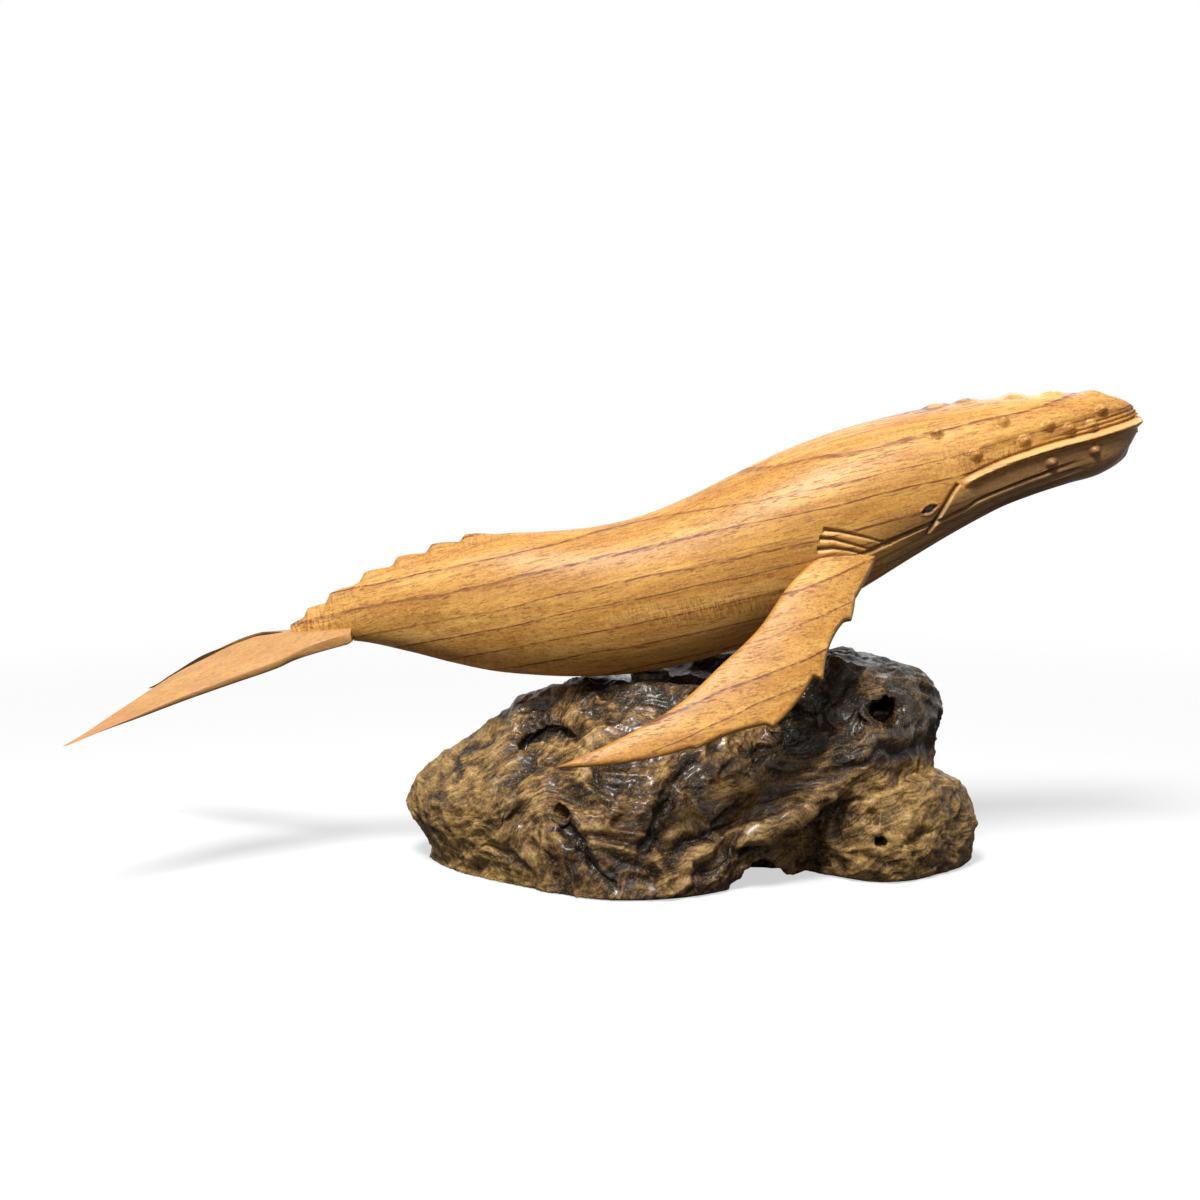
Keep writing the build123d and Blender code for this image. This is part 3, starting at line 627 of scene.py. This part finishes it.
# tail fluke: sections hold share of the half span, leading edge, trailing edge, droop and thickness
fluke = {
    "halfSpan": 65 * mm, "reach": 99 * mm, "droop": 26.6 * mm, "thick": 4.8 * mm,
    "columns": 96, "rows": 520, "sharpFrom": 60, "frontRound": 2.2 * mm, "thinFrom": 17 * mm,
    "backRound": 0.5 * mm, "tipRound": 3 * mm, "edgeBand": 1.2 * mm,
    "sections": [(0.000, 0.150, -0.278, 0.000, 1.00), (0.100, 0.080, -0.370, 0.000, 1.00),
                 (0.200, -0.155, -0.540, 0.160, 0.90), (0.323, -0.268, -0.641, 0.289, 0.80),
                 (0.462, -0.429, -0.717, 0.429, 0.70), (0.615, -0.601, -0.793, 0.586, 0.58),
                 (0.769, -0.757, -0.874, 0.752, 0.46), (0.892, -0.884, -0.934, 0.883, 0.34),
                 (1.000, -0.985, -1.000, 1.000, 0.22)],
}


def makeTailFluke():
    f = fluke
    turn = np.linspace(-1, 1, f["rows"])
    side = np.sign(turn) * (1 - (1 - np.abs(turn)) ** 1.15)
    out = np.abs(side)
    rows = [(-section[0], *section[1:]) for section in f["sections"][:0:-1]] + f["sections"]
    lead, trail, droop, thick = [curveAt([(row[0], row[n]) for row in rows], side) for n in (1, 2, 3, 4)]
    lead = np.minimum(lead, 0)
    droop = np.where(out < 0.1, 0, droop)
    around = np.linspace(0, 2 * pi, f["columns"], endpoint=False)[None, :]
    across = 0.5 - 0.5 * np.cos(around)
    x = (trail[:, None] + (lead - trail)[:, None] * across) * f["reach"]
    fromTrail = x - trail[:, None] * f["reach"]
    fromLead = lead[:, None] * f["reach"] - x
    # square in front and flat on top where the tail stock laps it; elsewhere round in front, thin behind
    wall = smoothStep(0.17, 0.11, out)[:, None]
    full = thick[:, None] * f["thick"]
    front = np.sqrt(1 - (1 - np.clip(fromLead / f["frontRound"], 0, 1)) ** 2)
    front = front * (1 - wall) + wall
    tail = 0.12 + 0.88 * (1 - (1 - np.clip(fromTrail / f["thinFrom"], 0, 1)) ** 1.6)
    tail = tail * np.sqrt(1 - (1 - np.clip(fromTrail / f["backRound"], 0, 1)) ** 2)
    tip = np.clip((1 - out) * f["halfSpan"] / f["tipRound"], 0, 1)[:, None]
    body = full * front * tail * np.sqrt(1 - (1 - tip) ** 2)
    flat = smoothStep(0.24, 0.14, out)[:, None]
    topShare = 0.28 * (1 - flat)
    z = -droop[:, None] * f["droop"] - full * topShare
    z = z + np.where(around < pi, body * topShare, -body * (1 - topShare))
    y = np.broadcast_to((side * f["halfSpan"])[:, None], x.shape)
    grid = np.stack([x, y, z], axis=-1)
    points = tilted(tubePoints(grid), whaleBody["lapTilt"], whaleBody["lap"])
    inset = np.minimum(fromTrail, fromLead).ravel()
    edge = np.concatenate([np.clip(1 - inset / f["edgeBand"], 0, 1), [1, 1]])
    faces = [face[::-1] for face in tubeFaces(f["rows"], f["columns"])]
    return meshFrom("tailFluke", points, faces, "fluke_wood", "tail_fluke", f["sharpFrom"], edge=edge)


# the root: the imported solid, remeshed and worked over with folds, creases, pits and fibres
root = {
    "voxel": 0.75 * mm, "relax": 6, "seed": (3.1, 7.7, 1.3), "noiseSeed": 5,
    "padRadius": 8.5 * mm, "padFrom": (73 * mm, 75 * mm), "length": 223 * mm, "height": 82.5 * mm,
    # the sizes of the relief's waves, and how far each eddy bends them
    "warps": [(0.042, 0.016), (0.017, 0.0045)], "bends": [(0.013, 0.0048), (0.0045, 0.0012)],
    "broad": (0.030, 0.020, 0.017), "ridge": (0.021, 0.013, 0.0115), "small": (0.0095, 0.006, 0.0052),
    "fibre": (0.0070, 0.0012, 0.0011), "knots": 0.0062, "fine": 0.0019,
    # pale lumps end here: the left one's side, and the lower right one's side and top
    "leftEdge": -0.044, "rightEdge": 0.070, "rightTop": 0.043, "deepest": -6.5, "highest": 3.2,
    # on the front: points in shares of length and height, then half width, depth and lip above in mm
    "creases": [
        ([(-0.150, 0.409), (-0.142, 0.273), (-0.107, 0.136), (-0.057, 0.054)], 4.6, 3.6, 1.6),
        ([(-0.033, 0.115), (0.005, 0.315), (0.041, 0.474), (0.077, 0.586)], 4.6, 3.4, 2.4),
        ([(0.040, 0.060), (0.146, 0.168), (0.218, 0.225), (0.290, 0.313), (0.345, 0.424)], 3.8, 4.4, 3.2),
        ([(-0.262, 0.590), (-0.203, 0.640), (-0.154, 0.665), (-0.107, 0.670)], 8.5, 5.2, 2.6),
        ([(0.128, 0.535), (0.208, 0.623), (0.281, 0.756), (0.322, 0.857)], 4.2, 2.4, 1.4),
        ([(-0.356, 0.396), (-0.329, 0.494), (-0.289, 0.563), (-0.252, 0.655)], 3.4, 1.0, 0.6),
        ([(0.242, 0.685), (0.275, 0.847), (0.308, 0.994)], 4.0, 2.4, 1.0),
        ([(0.350, 0.770), (0.398, 0.790), (0.432, 0.795)], 5.0, 5.0, 1.0),
        ([(-0.328, 0.157), (-0.253, 0.148), (-0.179, 0.066)], 2.6, 0.7, 0.5),
        ([(-0.104, 0.437), (-0.087, 0.572), (-0.021, 0.550)], 3.4, 2.4, 1.6),
        ([(0.010, 0.130), (0.060, 0.260), (0.130, 0.330), (0.160, 0.450)], 3.4, 2.0, 1.8),
        ([(0.330, 0.560), (0.420, 0.600), (0.500, 0.580)], 3.4, 1.8, 1.0),
    ],
}


def remeshed(node):
    copy = bpy.data.objects.new("rootWork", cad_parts[node].data.copy())
    bpy.context.collection.objects.link(copy)
    remesh = copy.modifiers.new("remesh", "REMESH")
    remesh.mode = "VOXEL"
    remesh.voxel_size = root["voxel"]
    relax = copy.modifiers.new("relax", "SMOOTH")
    relax.factor = 0.5
    relax.iterations = root["relax"]
    seen = copy.evaluated_get(bpy.context.evaluated_depsgraph_get())
    mesh = bpy.data.meshes.new_from_object(seen)
    bpy.data.objects.remove(copy)
    return mesh


def stretched(at, scale):
    return Vector((at.x / scale[0], at.y / scale[1], at.z / scale[2]))


def swirl(at, seed):
    # ridges with sharp creases between them, bent by broad eddies
    r = root
    (farWarp, farReach), (nearWarp, nearReach) = r["warps"]
    (farBend, farPush), (nearBend, nearPush) = r["bends"]
    warp = noise.noise_vector(at / farWarp + seed) * farReach
    warp += noise.noise_vector(at / nearWarp + seed * 2) * nearReach
    bent = at + warp
    broad = noise.noise(stretched(bent, r["broad"]) + seed)
    ridge = 1 - 2.4 * abs(noise.noise(stretched(bent, r["ridge"]) + seed * 3))
    small = 1 - 2.2 * abs(noise.noise(stretched(bent, r["small"]) - seed))
    fibre = noise.noise(stretched(bent, r["fibre"]) + seed * 5)
    knots = noise.fractal(at / r["knots"] + warp * 60, 0.9, 2.1, 3)
    fine = noise.fractal(at / r["fine"], 0.8, 2.0, 2)
    bend = noise.noise_vector(at / farBend - seed) * farPush
    bend += noise.noise_vector(at / nearBend + seed) * nearPush
    return broad, ridge, small, fibre, knots, fine, bend.x, bend.z


def vertexValues(mesh, name):
    values = np.empty(len(mesh.vertices) * 3)
    mesh.vertices.foreach_get(name, values)
    return values.reshape(-1, 3)


def makeRoot():
    r = root
    mesh = remeshed("driftwood_base")
    points, normals = vertexValues(mesh, "co"), vertexValues(mesh, "normal")
    seed = Vector(r["seed"])
    noise.seed_set(r["noiseSeed"])
    waves = np.array([swirl(Vector(at), seed) for at in points]).T
    broad, ridge, small, fibre, knots, fine, bendX, bendZ = waves
    # zones: pale lumps to the left and at the lower right, dark wood in the middle and at the top right
    x, y, z = points.T
    wander = broad * 0.012
    left = np.clip((r["leftEdge"] - x - 0.35 * (z - 0.03) + wander) / 0.014, 0, 1)
    block = np.clip((x - r["rightEdge"] + wander) / 0.010, 0, 1)
    block = block * np.clip((r["rightTop"] - z + wander) / 0.006, 0, 1)
    light = np.maximum(left, block)
    strong = 1 - 0.38 * light
    lift = 2.2 * broad * strong + (2.1 * ridge - 0.9) * strong + (0.75 * small - 0.25) * (1 - 0.4 * light)
    lift = lift + 0.20 * fibre + 0.95 * knots * (0.5 + 0.5 * light) + 0.22 * fine
    # depth follows the relief, so it paints shade into the tone: darker in the hollows, lighter on ridges
    # and knots
    depth = 0.55 * ridge * strong + 0.40 * small + 0.45 * knots
    # darker still at the top right; painted shade on the top under the whale's belly
    topRight = smoothStep(0.042, 0.062, x) * smoothStep(0.040, 0.052, z)
    paintedBellyShade = smoothStep(0.060, 0.070, z) * smoothStep(-0.045, -0.025, x)
    depth = depth - 0.75 * np.maximum(topRight, paintedBellyShade)
    # the photographed creases, each with a lip on its upper side
    front = smoothStep(0.15, -0.35, normals[:, 1])
    flatPoints = np.stack([x + bendX, z + bendZ], axis=-1)
    for shares, halfWidth, deep, lip in r["creases"]:
        line = [(at * r["length"], up * r["height"]) for at, up in shares]
        gap, share = nearLine(flatPoints, line)
        level = np.interp(flatPoints[:, 0], [point[0] for point in line], [point[1] for point in line])
        wave = np.clip(0.85 + 0.9 * knots + 0.5 * broad, 0.25, 1.6)
        ends = smoothStep(0.0, 0.25, share) * smoothStep(1.0, 0.75, share) * front
        cut = np.clip(1 - gap / (halfWidth * wave * mm), 0, 1) ** 1.2 * ends
        upper = flatPoints[:, 1] > level
        above = np.exp(-((gap - 1.5 * halfWidth * mm) / (0.9 * halfWidth * mm)) ** 2) * upper * ends
        lift = lift - deep * cut + lip * above
        # painted shade in each crease, and a painted highlight on its lip
        depth = depth - 1.5 * cut + 0.5 * above
    # the pad under the whale and the underside keep the solid's own shape
    reach = np.hypot(x, y)
    pad = smoothStep(r["padRadius"] + 1.5 * mm, r["padRadius"], reach) * smoothStep(*r["padFrom"], z)
    under = smoothStep(3.0 * mm, 0.5 * mm, z) * smoothStep(0.3, 0.8, -normals[:, 2])
    lift = np.clip(lift, r["deepest"], r["highest"]) * (1 - pad) * (1 - under) * mm
    moved = points + normals * lift[:, None]
    moved[:, 2] = np.maximum(moved[:, 2], 0)
    mesh.vertices.foreach_set("co", moved.ravel())
    mesh.update()
    mesh.shade_smooth()
    mesh.name = "gnarledRoot"
    return addPiece(mesh, "base", "root_wood", "driftwood_base",
                    depth=depth, light=light, fibre=0.5 + 0.5 * fibre)


# the whale's timber: one set of colours, and for each finish its grain's tilt, ring centre and shift;
# the list of marks holds mark, colour and share, for the dark eye and edges and for painted shade and
# painted highlights, and tip holds slope and offset along the grain
whaleFinish = {
    "pale": (0.82, 0.460, 0.122), "mid": (0.64, 0.308, 0.058), "dark": (0.38, 0.150, 0.026),
    # painted shade: the groove colour darkens the carved cuts, and the shade colour the jaw and throat
    "line": (0.150, 0.042, 0.014), "paintedGrooveShade": (0.10, 0.040, 0.014), "shade": (0.150, 0.082, 0.042),
    # painted highlight: the pale colour below goes on lit edges and the lower walls of the gouges
    "fresh": (0.86, 0.58, 0.27), "eye": (0.02, 0.012, 0.008), "tip": (0.58, 0.24, 0.10),
    # the fluke's darker, pinker mix: a tone of its own, and painted shade because its top faces up into the
    # lamp
    "wash": (0.46, 0.245, 0.110), "ringSpacing": 9.0 * mm, "gloss": 0.44,
    "whaleTimber": {"tilt": 13.5, "ringCentre": (0.012, -0.145), "seed": (0, 0, 0), "lines": 1.25,
                    "stains": [("shade", "shade", 0.62), ("cut", "paintedGrooveShade", 0.55), ("fresh", "fresh", 0.8),
                               ("eye", "eye", 1.0)]},
    "flipperTimber": {"tilt": 16, "ringCentre": (0.02, -0.10), "seed": (0.13, 0.03, 0.013), "lines": 1.35,
                      "stains": [("edge", "dark", 0.5)]},
    # the fluke gets a pinker tone and painted shade, since its top faces up into the lamp
    "flukeTimber": {"tilt": 0, "ringCentre": (-0.4, 0.0), "seed": (0.2, 0.01, 0.006), "lines": 0.35,
                    "stains": [("edge", "dark", 0.2)], "rings": 2.2, "turn": 34, "figure": 0.3,
                    "twin": True, "tip": (-25.0, 0.5), "wash": 0.55},
    "dowelTimber": {"tilt": 0, "ringCentre": (0.0, -0.1), "seed": (0, 0, 0), "rings": 5},
}


def timber(name, tilt, ringCentre, seed, rings=1.0, turn=0.0, lines=1.0, figure=1.0, twin=False):
    # growth rings are cylinders about a far axis; twin mirrors the grain about the middle plane
    f = whaleFinish
    wood = Finish(name, Specular_IOR_Level=0.36)
    start = wood.here()
    if twin:
        x, y, z = wood.parts(start)
        start = wood.joined(x, y.size(), z)
    turned = wood.vector("ADD", wood.turned(start, (0, radians(tilt), radians(turn))), seed)

    def along(scale, across, detail=2.0, rough=0.5):
        return wood.grain(wood.vector("MULTIPLY", turned, (scale, across, across)), 1.0, detail, rough)

    x, y, z = wood.parts(turned)
    dy = y - ringCentre[0]
    dz = z - ringCentre[1]
    radius = (dy * dy + dz * dz) ** 0.5
    age = radius / (f["ringSpacing"] / rings)
    uneven = wood.grain(wood.joined(age * 0.55, x * 1.5, 0.0), 1.0, 1.0, 0.5)
    age = age + (uneven - 0.5) * 1.5 + (along(4, 16) - 0.5) * 1.1 + (along(26, 80, 3.0) - 0.5) * 0.34
    ringAge = wood.node("ShaderNodeMath", {"operation": "FRACT"}, {0: age})
    strength = wood.grain(wood.joined(age * 0.8, x * 5, 3.0), 1.0, 1.0, 0.5)
    strength = wood.curve(strength, (0.38, 0.55), (0.56, 1.0))
    band = wood.grain(wood.joined(age * 1.1, x * 4, 7.0), 1.0, 2.0, 0.6)
    dashes = wood.curve(along(150, 1100, 2.0, 0.6), (0.40, 0.0), (0.56, 1.0))
    pores = wood.curve(along(150, 1350, 2.0, 0.6), (0.56, 0.0), (0.64, 1.0))
    fibre = along(32, 620, 3.0, 0.65)
    streak = along(9, 170, 3.0, 0.6)
    speck = wood.grain(wood.vector("MULTIPLY", turned, (900, 1500, 1500)), 1.0, 2.0, 0.6)
    halo = wood.curve(ringAge, (0.0, 0.25), (0.06, 0.0), (0.62, 0.0), (0.93, 0.60), (0.975, 1.0),
                      (1.0, 0.25))
    core = wood.curve(ringAge, (0.0, 0.0), (0.90, 0.0), (0.95, 1.0), (0.985, 1.0), (1.0, 0.0))
    base = wood.mixed(wood.curve(band, (0.34, 0.0), (0.66, 1.0)), f["mid"], f["pale"])
    base = wood.mixed(wood.curve(along(14, 60, 3.0), (0.42, 0.30), (0.62, 0.0)), base, f["dark"])
    base = wood.mixed(wood.curve(streak, (0.36, 0.55), (0.52, 0.0)), base, f["dark"])
    base = wood.mixed(wood.curve(streak, (0.56, 0.0), (0.72, 0.55)), base, f["pale"])
    base = wood.mixed(wood.curve(fibre, (0.44, 0.0), (0.66, 0.65)), base, f["dark"])
    base = wood.mixed(wood.curve(speck, (0.36, 0.22), (0.50, 0.0)), base, f["line"])
    base = wood.mixed(wood.curve(speck, (0.52, 0.0), (0.68, 0.35)), base, f["pale"])
    base = wood.mixed(halo * strength * (dashes * 0.45 + 0.30) * lines, base, f["dark"])
    base = wood.mixed(core * strength * (dashes * 0.75 + 0.25) * 0.85 * lines, base, f["line"])
    base = wood.mixed(pores * (halo * 0.45 + 0.45), base, f["line"])
    # ripples across the grain, in patches
    patch = wood.curve(along(13, 34, 2.0), (0.54, 0.0), (0.68, 1.0)) * figure
    ripple = wood.grain(wood.vector("MULTIPLY", turned, (1300, 330, 330)), 1.0, 2.0, 0.6)
    base = wood.mixed(patch * wood.curve(ripple, (0.52, 0.0), (0.60, 0.45)), base, f["line"])
    base = wood.mixed(patch * wood.curve(ripple, (0.38, 0.35), (0.47, 0.0)), base, f["pale"])
    height = fibre * 0.35 + speck * 0.25 - pores * 0.5 - core * 0.4
    return wood, base, height, pores, x


def finishTimber(name, stains=(), tip=None, wash=None, **grain):
    wood, base, height, pores, x = timber(name, **grain)
    f = whaleFinish
    # a tone of the part's own and painted shade, mixed over the grain
    if wash:
        base = wood.mixed(wash, base, f["wash"])
    rough = wood.curve(pores, (0.0, f["gloss"]), (1.0, 0.6))
    # the dark eye and edges, and painted shade and painted highlights from the carving marks
    for mark, colour, share in stains:
        base = wood.mixed((wood.carved(mark) * share).clipped(), base, f[colour])
    if tip:
        base = wood.mixed(wood.curve(x * tip[0] + tip[1], (0.0, 0.0), (1.0, 0.75)), base, f["tip"])
    return wood.paint(Base_Color=base, Roughness=rough, Normal=wood.bump(height, 0.45, 0.14 * mm))


rootTones = {
    "darkSide": [(0.0, (0.005, 0.0025, 0.001)), (0.28, (0.020, 0.010, 0.004)),
                 (0.50, (0.105, 0.053, 0.017)), (0.72, (0.270, 0.150, 0.050)), (1.0, (0.50, 0.32, 0.12))],
    "lightSide": [(0.0, (0.020, 0.011, 0.004)), (0.25, (0.110, 0.060, 0.018)),
                  (0.50, (0.285, 0.163, 0.050)), (0.75, (0.46, 0.280, 0.095)), (1.0, (0.62, 0.42, 0.17))],
    "pit": (0.014, 0.008, 0.004), "dust": (0.46, 0.31, 0.14),
    "strandTurn": 28, "strandScale": (42, 170, 640), "swing": 0.045,
}


def rootFinish():
    f = rootTones
    wood = Finish("varnishedRoot", Specular_IOR_Level=0.25, Coat_Roughness=0.2)
    at = wood.here()
    depth = wood.carved("depth")
    light = wood.carved("light")
    fibre = wood.carved("fibre")
    cloud = wood.grain(at, 48, 5.0, 0.62, 0.8)
    patch = wood.grain(at, 130, 4.0, 0.6, 0.5)
    speck = wood.grain(at, 1300, 3.0, 0.6)
    # strands of wood that swing round the eddies
    eddy = wood.node("ShaderNodeTexNoise", None, {"Vector": at, "Scale": 30, "Detail": 2.0}, out="Color")
    bent = wood.vector("ADD", at, wood.vector("MULTIPLY", eddy, (f["swing"],) * 3))
    bent = wood.turned(bent, (0, radians(f["strandTurn"]), 0))
    strands = wood.grain(wood.vector("MULTIPLY", bent, f["strandScale"]), 1.0, 4.0, 0.6, 0.6)
    # the depth attribute brings painted shade from the relief and under the whale into the tone
    tone = depth * 0.42 + (cloud - 0.5) * 1.0 + (patch - 0.5) * 0.6 + (fibre - 0.5) * 0.5 + 0.30
    tone = tone + (strands - 0.5) * 1.5
    base = wood.mixed(light, wood.tints(tone, *f["darkSide"]), wood.tints(tone, *f["lightSide"]))
    base = wood.mixed(wood.curve(speck, (0.38, 0.5), (0.49, 0.0)), base, f["pit"])
    base = wood.mixed(wood.curve(speck, (0.54, 0.0), (0.68, 0.35)), base, f["dust"])
    rough = wood.curve(patch * 0.5 + cloud * 0.5, (0.40, 0.30), (0.58, 0.70))
    coat = wood.curve(cloud, (0.42, 0.40), (0.60, 0.03)) * (1.0 - light * 0.9)
    relief = wood.bump(speck * 0.40 + patch * 0.4 + strands * 1.1, 0.75, 0.5 * mm)
    return wood.paint(Base_Color=base, Roughness=rough, Coat_Weight=coat, Normal=relief)


def steelFinish():
    steel = Finish("drawnSteel", Metallic=1.0)
    lines = steel.grain(steel.vector("MULTIPLY", steel.here(), (2400, 2400, 60)), 1.0, 3.0, 0.6)
    base = steel.mixed(lines, (0.42, 0.42, 0.41), (0.62, 0.62, 0.60))
    return steel.paint(Base_Color=base, Roughness=steel.curve(lines, (0.3, 0.28), (0.7, 0.42)),
                       Normal=steel.bump(lines, 0.2, 0.05 * mm))


def dress(piece, material):
    piece.data.materials.clear()
    piece.data.materials.append(material)


# floor, backdrop, lamps and camera
studio = {
    "camera": (-19.455 * mm, -740 * mm, 188.543 * mm), "pitch": 6.5, "lens": 57.42, "sensor": 36,
    # the floor as the camera sees it, and as light bounces off it
    "floor": (0.33, 0.33, 0.33), "bounce": (0.11, 0.11, 0.11), "glow": (0.60, 0.60, 0.60),
    "reach": 0.75, "sides": 96, "fadeFrom": 0.40, "below": 0.2 * mm, "world": 0.06,
    # name, place, target, size and power
    "lamps": [("key", (-0.18, -0.67, 1.13), (0.02, 0, 0.10), 0.40, 24.5),
              ("back", (0.25, 0.90, 0.90), (0, 0, 0.12), 0.6, 4),
              ("front", (-0.40, -1.10, 0.50), (0, 0, 0.08), 0.4, 0.6)],
}


def makeStage():
    # a round floor that fades into the white world behind it
    sides = studio["sides"]
    rim = [(studio["reach"] * cos(2 * pi * k / sides), studio["reach"] * sin(2 * pi * k / sides), 0)
           for k in range(sides)]
    floor = bpy.data.meshes.new("floor")
    floor.from_pydata(rim, [], [list(range(sides))])
    plane = bpy.data.objects.new("floor", floor)
    bpy.context.collection.objects.link(plane)
    paper = Finish("whitePaper", Specular_IOR_Level=0.1, Emission_Strength=1.0)
    seen = paper.node("ShaderNodeLightPath", out="Is Camera Ray")
    glow = paper.mixed(seen, (0, 0, 0), studio["glow"])
    distance = paper.node("ShaderNodeVectorMath", {"operation": "LENGTH"}, {0: paper.here()}, out="Value")
    fade = paper.curve(distance / studio["reach"], (0.0, 1.0), (studio["fadeFrom"], 1.0), (0.98, 0.0))
    colour = paper.mixed(seen, studio["bounce"], studio["floor"])
    dress(plane, paper.paint(Base_Color=colour, Roughness=0.9, Alpha=fade, Emission_Color=glow))
    plane.location.z = -studio["below"]


def areaLamp(name, place, target, size, power):
    data = bpy.data.lights.new(name, "AREA")
    data.shape = "DISK"
    data.size = size
    data.energy = power
    lamp = bpy.data.objects.new(name, data)
    lamp.location = place
    lamp.rotation_euler = (Vector(target) - Vector(place)).to_track_quat("-Z", "Y").to_euler()
    bpy.context.collection.objects.link(lamp)


def lightStudio():
    for lamp in studio["lamps"]:
        areaLamp(*lamp)
    # the world is white to the camera and in reflections, and dim as a light
    world = bpy.data.worlds.new("studio")
    bpy.context.scene.world = world
    world.use_nodes = True
    tree = world.node_tree
    back = tree.nodes["Background"]
    back.inputs["Color"].default_value = (1, 1, 1, 1)
    ray = tree.nodes.new("ShaderNodeLightPath")
    level = tree.nodes.new("ShaderNodeMix")
    level.inputs[2].default_value = studio["world"]
    level.inputs[3].default_value = 1.0
    seen = tree.nodes.new("ShaderNodeMath")
    seen.operation = "MAXIMUM"
    tree.links.new(ray.outputs["Is Camera Ray"], seen.inputs[0])
    tree.links.new(ray.outputs["Is Glossy Ray"], seen.inputs[1])
    tree.links.new(seen.outputs[0], level.inputs[0])
    tree.links.new(level.outputs[0], back.inputs["Strength"])


def makeCamera():
    data = bpy.data.cameras.new("camera")
    data.lens = studio["lens"]
    data.sensor_width = studio["sensor"]
    camera = bpy.data.objects.new("camera", data)
    camera.location = studio["camera"]
    camera.rotation_euler = (radians(90 - studio["pitch"]), 0, 0)
    bpy.context.collection.objects.link(camera)
    bpy.context.scene.camera = camera
    bpy.context.scene.view_settings.view_transform = "Standard"


def timberFor(name):
    return finishTimber(name, **whaleFinish[name])


print("whale: body")
body = makeWhaleBody()
dress(body, timberFor("whaleTimber"))
print("whale: flippers and fluke")
nearFlipper, farFlipper = makeFlippers()
flipperTimber = timberFor("flipperTimber")
dress(nearFlipper, flipperTimber)
dress(farFlipper, flipperTimber)
tailFluke = makeTailFluke()
dress(tailFluke, timberFor("flukeTimber"))
print("root")
gnarled = makeRoot()
dress(gnarled, rootFinish())
print("pin and dowels")
steel = steelFinish()
dowelTimber = timberFor("dowelTimber")
for node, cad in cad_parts.items():
    if node == "mounting_pin":
        cad.material_slots[0].material = steel
    elif node.endswith("dowel"):
        cad.material_slots[0].material = dowelTimber
print("stage, lamps and camera")
makeStage()
lightStudio()
makeCamera()
